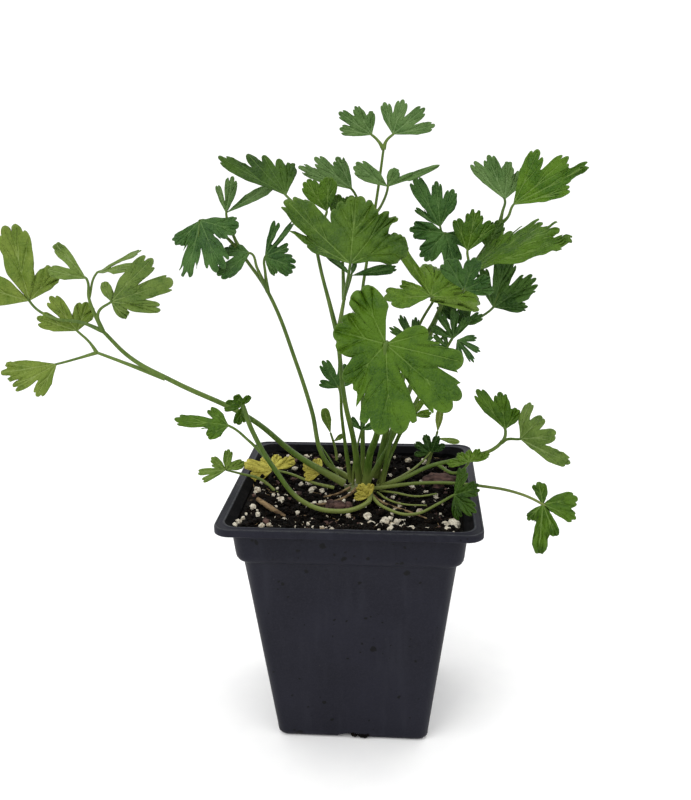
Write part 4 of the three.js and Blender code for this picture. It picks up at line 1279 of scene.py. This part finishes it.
def crown():
    """The short, lumpy stock where the stalks meet."""
    middle = Vector((CROWN.x, CROWN.y, SOIL_TOP))
    rest_tools()
    bpy.ops.mesh.primitive_uv_sphere_add(segments=48, ring_count=24, radius=1)
    piece = bpy.context.object
    piece.scale = CROWN_RADII
    piece.location = middle
    settle(piece)
    for corner in piece.data.vertices:
        corner.co += (corner.co - middle) * 0.35 * noise.noise(corner.co * 260)
    piece.name = "crown_stock"
    dress(piece, CROWN_SKIN)
    smooth_all(piece)
    finish_piece(piece, ["root_crown"])


crown()

# ---- seedlings and the faded leaf -----------------------------------------------------------
THREE = [(-56, 0.82, 20, 3, 0.25), (0, 1.0, 16, 3, 0.25), (52, 0.9, 20, 3, 0)]
FERN = [(-74, 0.8, 16, 4, 0.4), (-36, 0.95, 16, 4, 0.5), (2, 1.0, 16, 4, 0.5), (40, 0.95, 16, 4, 0.4),
        (78, 0.8, 16, 4, 0)]
OVAL = [(0, 1.0, 15, 1, 0)]
ROUND = [(-46, 0.85, 26, 2, 0.7), (0, 1.0, 26, 3, 0.7), (46, 0.85, 26, 2, 0)]
WITHERED = [(-24, 0.8, 22, 3, 0.55), (10, 1.0, 18, 3, 0.5), (52, 0.6, 22, 3, 0.45),
            (104, 0.6, 22, 3, 0.5), (146, 0.85, 18, 3, 0)]
TRIO = [(-16, 0.9, 12, 2, 0.5), (8, 1.0, 13, 2, 0.5), (40, 0.6, 14, 2, 0)]
SPRIG = [(-48, 0.8, 14, 3, 0.25), (-16, 1.0, 11, 3, 0.3), (14, 1.05, 11, 3, 0.3), (46, 0.85, 14, 3, 0)]
SEEDLINGS = {
    "seedling_left": ([[(-33, 0, 97), (-41, 0, 104), (-48, -1, 106.4), (-55, -2, 108.6)]],
                      [((-55, -2, 108.6), (-53, -3, 118.5), (0.1, -1, 0.3), "young", THREE),
                       ((-55, -2, 108.6), (-67, -4, 106.6), (0, -0.7, 1), "young", TRIO)]),
    "seedling_back_left": ([[(-11, 37, 98), (-12, 38, 105), (-14, 38, 112.4)]],
                           [((-14, 38, 112), (-17, 39, 124), (0.2, -1, 0.3), "young", OVAL),
                            ((-13, 38, 108), (-8, 37, 112), (0.2, -1, 0.5), "young", OVAL)]),
    "seedling_back_right": ([[(30, 33, 97), (33, 34, 107), (35, 35, 115)],
                             [(11, 13, 97), (20, 19, 99.5), (28, 27, 103), (32, 31, 106.5)]],
                            [((35, 35, 114.5), (36, 36, 125.5), (0.3, -1, 0.3), "pale", OVAL),
                             ((35, 34, 112), (45, 33, 110.5), (0, -0.6, 1), "pale", OVAL),
                             ((32, 31, 106), (29, 30, 115), (0, -1, 0.45), "deep", FERN)]),
    "faded_leaf": ([[(-10, 9, 97), (-20, 10, 99), (-30, 10, 103), (-37.3, 10, 104.4)]],
                   [((-37, 10, 104), (-50, 8, 105.6), (0, -0.8, 0.6), "yellow", WITHERED)]),
}
SEEDLING_STALK = (0.75, 0.6, 0.52, 0.45)  # radii in mm, from the foot up
VISUAL_NAMES = {"seedling_left": "young_plant_left", "seedling_back_left": "young_plant_back_left",
                "seedling_back_right": "young_plant_back_right", "faded_leaf": "yellowed_leaf"}
for seedling_name, (stalks, blades) in SEEDLINGS.items():
    parts = [grow_blade("blade", seat_between(*ends), tone, lobes, small=True)
             for *ends, tone, lobes in blades]
    for route in stalks:
        run = tube(in_metres(route), [size * MM for size in SEEDLING_STALK[:len(route)]])
        dress(run, STALK_SKIN)
        smooth(run)
        parts.append(run)
    piece = join(parts, VISUAL_NAMES[seedling_name])
    finish_piece(piece, [seedling_name])

CROWN_LEAVES = [grow_blade("blade", seat_between(*ends), "yellow", ROUND, small=True) for ends in (
    ((5.4, -3.4, 98), (1.5, -4.4, 104.2), (0, -1, 0.5)),
    ((-16.4, 12, 102.4), (-24, 14, 106), (0.2, -1, 0.8)),
)]
finish_piece(join(CROWN_LEAVES, "yellowed_small_leaves"), [])


def heart_growth():
    """The small late leaves in the heart of the plant and the bases of stalks long gone."""
    sprigs = [
        ([(10, 10, 97), (15, 7, 122), (20, 5, 148), (24, 4, 163)], 0.7,
         [((24, 4, 163), (16, 3, 172.5), (0.2, -1, 0.3), "deep", SPRIG),
          ((23, 4, 160), (30, 2, 168), (0, -1, 0.4), "dark", SPRIG)]),
        ([(9, 14, 97), (20, 12, 125), (32, 9, 150), (40, 8, 165)], 0.75,
         [((40, 8, 164), (37, 7, 177), (0, -1, 0.2), "deep", SPRIG),
          ((41.5, 8, 163.6), (50, 7, 156.5), (0.1, -0.8, 0.7), "dark", SPRIG),
          ((38, 8, 160), (31, 7, 164), (0, -1, 0.5), "deep", SPRIG)]),
        ([(11, 11, 97), (13, 11, 106), (17, 14, 117), (24, 17, 128)], 0.5,
         [((24, 17, 128), (28, 17, 136), (0, -1, 0.4), "glow", THREE)]),
        ([(-2, 11, 97), (-1, 9, 110), (2, 8, 124)], 0.55,
         [((2, 8, 124), (4, 7, 133), (0, -1, 0.3), "dark", THREE)]),
        ([(-7, 13, 97), (-11, 14, 106), (-16, 15, 114)], 0.45, []),
        ([(10, 8, 96.5), (17, 1, 98.5), (26, -6, 100), (34, -10, 103)], 0.45, []),
        ([(9, 6, 96.5), (14, -4, 97.4), (21, -11, 98.4), (30, -13, 99)], 0.4, []),
    ]
    stalks, blades = [], []
    for route, thick, seats in sprigs:
        count = len(route) - 1
        sizes = [thick * (1.25 - 0.5 * step / count) * MM for step in range(count + 1)]
        stalks.append(tube(in_metres(route), sizes))
        for seed, (*ends, tone, lobes) in enumerate(seats, 3):
            seat = seat_between(*ends)
            blades.append(grow_blade("blade", seat, tone, lobes, bite=0.2, seed=seed, small=True))
    finish_piece(join(blades, "heart_leaves"), [])
    piece = join(stalks, "heart_stalks")
    dress(piece, STALK_SKIN)
    smooth(piece, STALK_CREASE)
    finish_piece(piece, [])


heart_growth()

for section in (SECTION, SLIM_SECTION):
    bpy.data.objects.remove(section)

# ---- floor, light and camera ----------------------------------------------------------------


def pale_paper():
    """Nearly white paper, very slightly mottled."""
    recipe = Recipe("pale_paper")
    mottle = recipe.noise(60, 3, 0.5)
    colour = recipe.blend(recipe.ramp(mottle, 0.3, 0.7), PAPER_SHADE, PAPER_LIGHT)
    return recipe.finish(colour, 0.9)


def studio_floor():
    """A flat pale floor, a hair below the pot's foot."""
    rest_tools()
    bpy.ops.mesh.primitive_plane_add(size=3, location=(0, 0, -0.0002))
    piece = bpy.context.object
    settle(piece)
    piece.name = "studio_floor"
    piece.data.materials.append(pale_paper())


def area_light(name, place, target, size, power):
    """A square lamp that looks at the target."""
    data = bpy.data.lights.new(name, "AREA")
    data.shape = "SQUARE"
    data.size = size
    data.energy = power
    lamp = into_scene(name, data)
    lamp.location = place
    lamp.rotation_euler = (Vector(target) - Vector(place)).to_track_quat("-Z", "Y").to_euler()


PLANT_MIDDLE = (0, 0, 0.13)
LAMPS = (  # name, place, side and power
    ("key", (-0.55, -0.75, 1.0), 0.8, 6),
    ("fill", (0.9, -0.6, 0.5), 0.9, 1.5),
    ("top", (0.1, 0.3, 1.3), 1.0, 3.5),
)
SURROUNDING_LIGHT = 1.15


def studio():
    """Floor, three soft lamps and an even white surrounding."""
    studio_floor()
    for name, place, size, power in LAMPS:
        area_light(name, place, PLANT_MIDDLE, size, power)
    world = bpy.data.worlds.new("studio")
    world.use_nodes = True
    background = world.node_tree.nodes["Background"]
    background.inputs["Color"].default_value = (1, 1, 1, 1)
    background.inputs["Strength"].default_value = SURROUNDING_LIGHT
    bpy.context.scene.world = world
    bpy.context.scene.view_settings.view_transform = "Standard"


EYE_IN_RIM_WIDTHS = Vector((0.242, -3.519, 2.414))
YAW_PITCH_ROLL = (-4.56, 16.49, -0.58)
SENSOR_MM, FOCAL_MM = 36, 40.96


def camera():
    """Stands in front of the pot, a little above the leaves, looking slightly down."""
    eye = EYE_IN_RIM_WIDTHS * RIM_WIDTH
    yaw, pitch, roll = (math.radians(angle) for angle in YAW_PITCH_ROLL)
    data = bpy.data.cameras.new("camera")
    data.sensor_width = SENSOR_MM
    data.lens = FOCAL_MM
    data.clip_start = 0.01
    lens = into_scene("camera", data)
    level = math.cos(pitch)
    forward = Vector((math.sin(yaw) * level, math.cos(yaw) * level, -math.sin(pitch)))
    right = Vector((math.cos(yaw), -math.sin(yaw), 0))
    above = right.cross(forward)
    turned_right = math.cos(roll) * right + math.sin(roll) * above
    turned_up = math.cos(roll) * above - math.sin(roll) * right
    basis = Matrix((turned_right, turned_up, -forward)).transposed().to_4x4()
    lens.matrix_world = Matrix.Translation(eye) @ basis
    bpy.context.scene.camera = lens


studio()
camera()
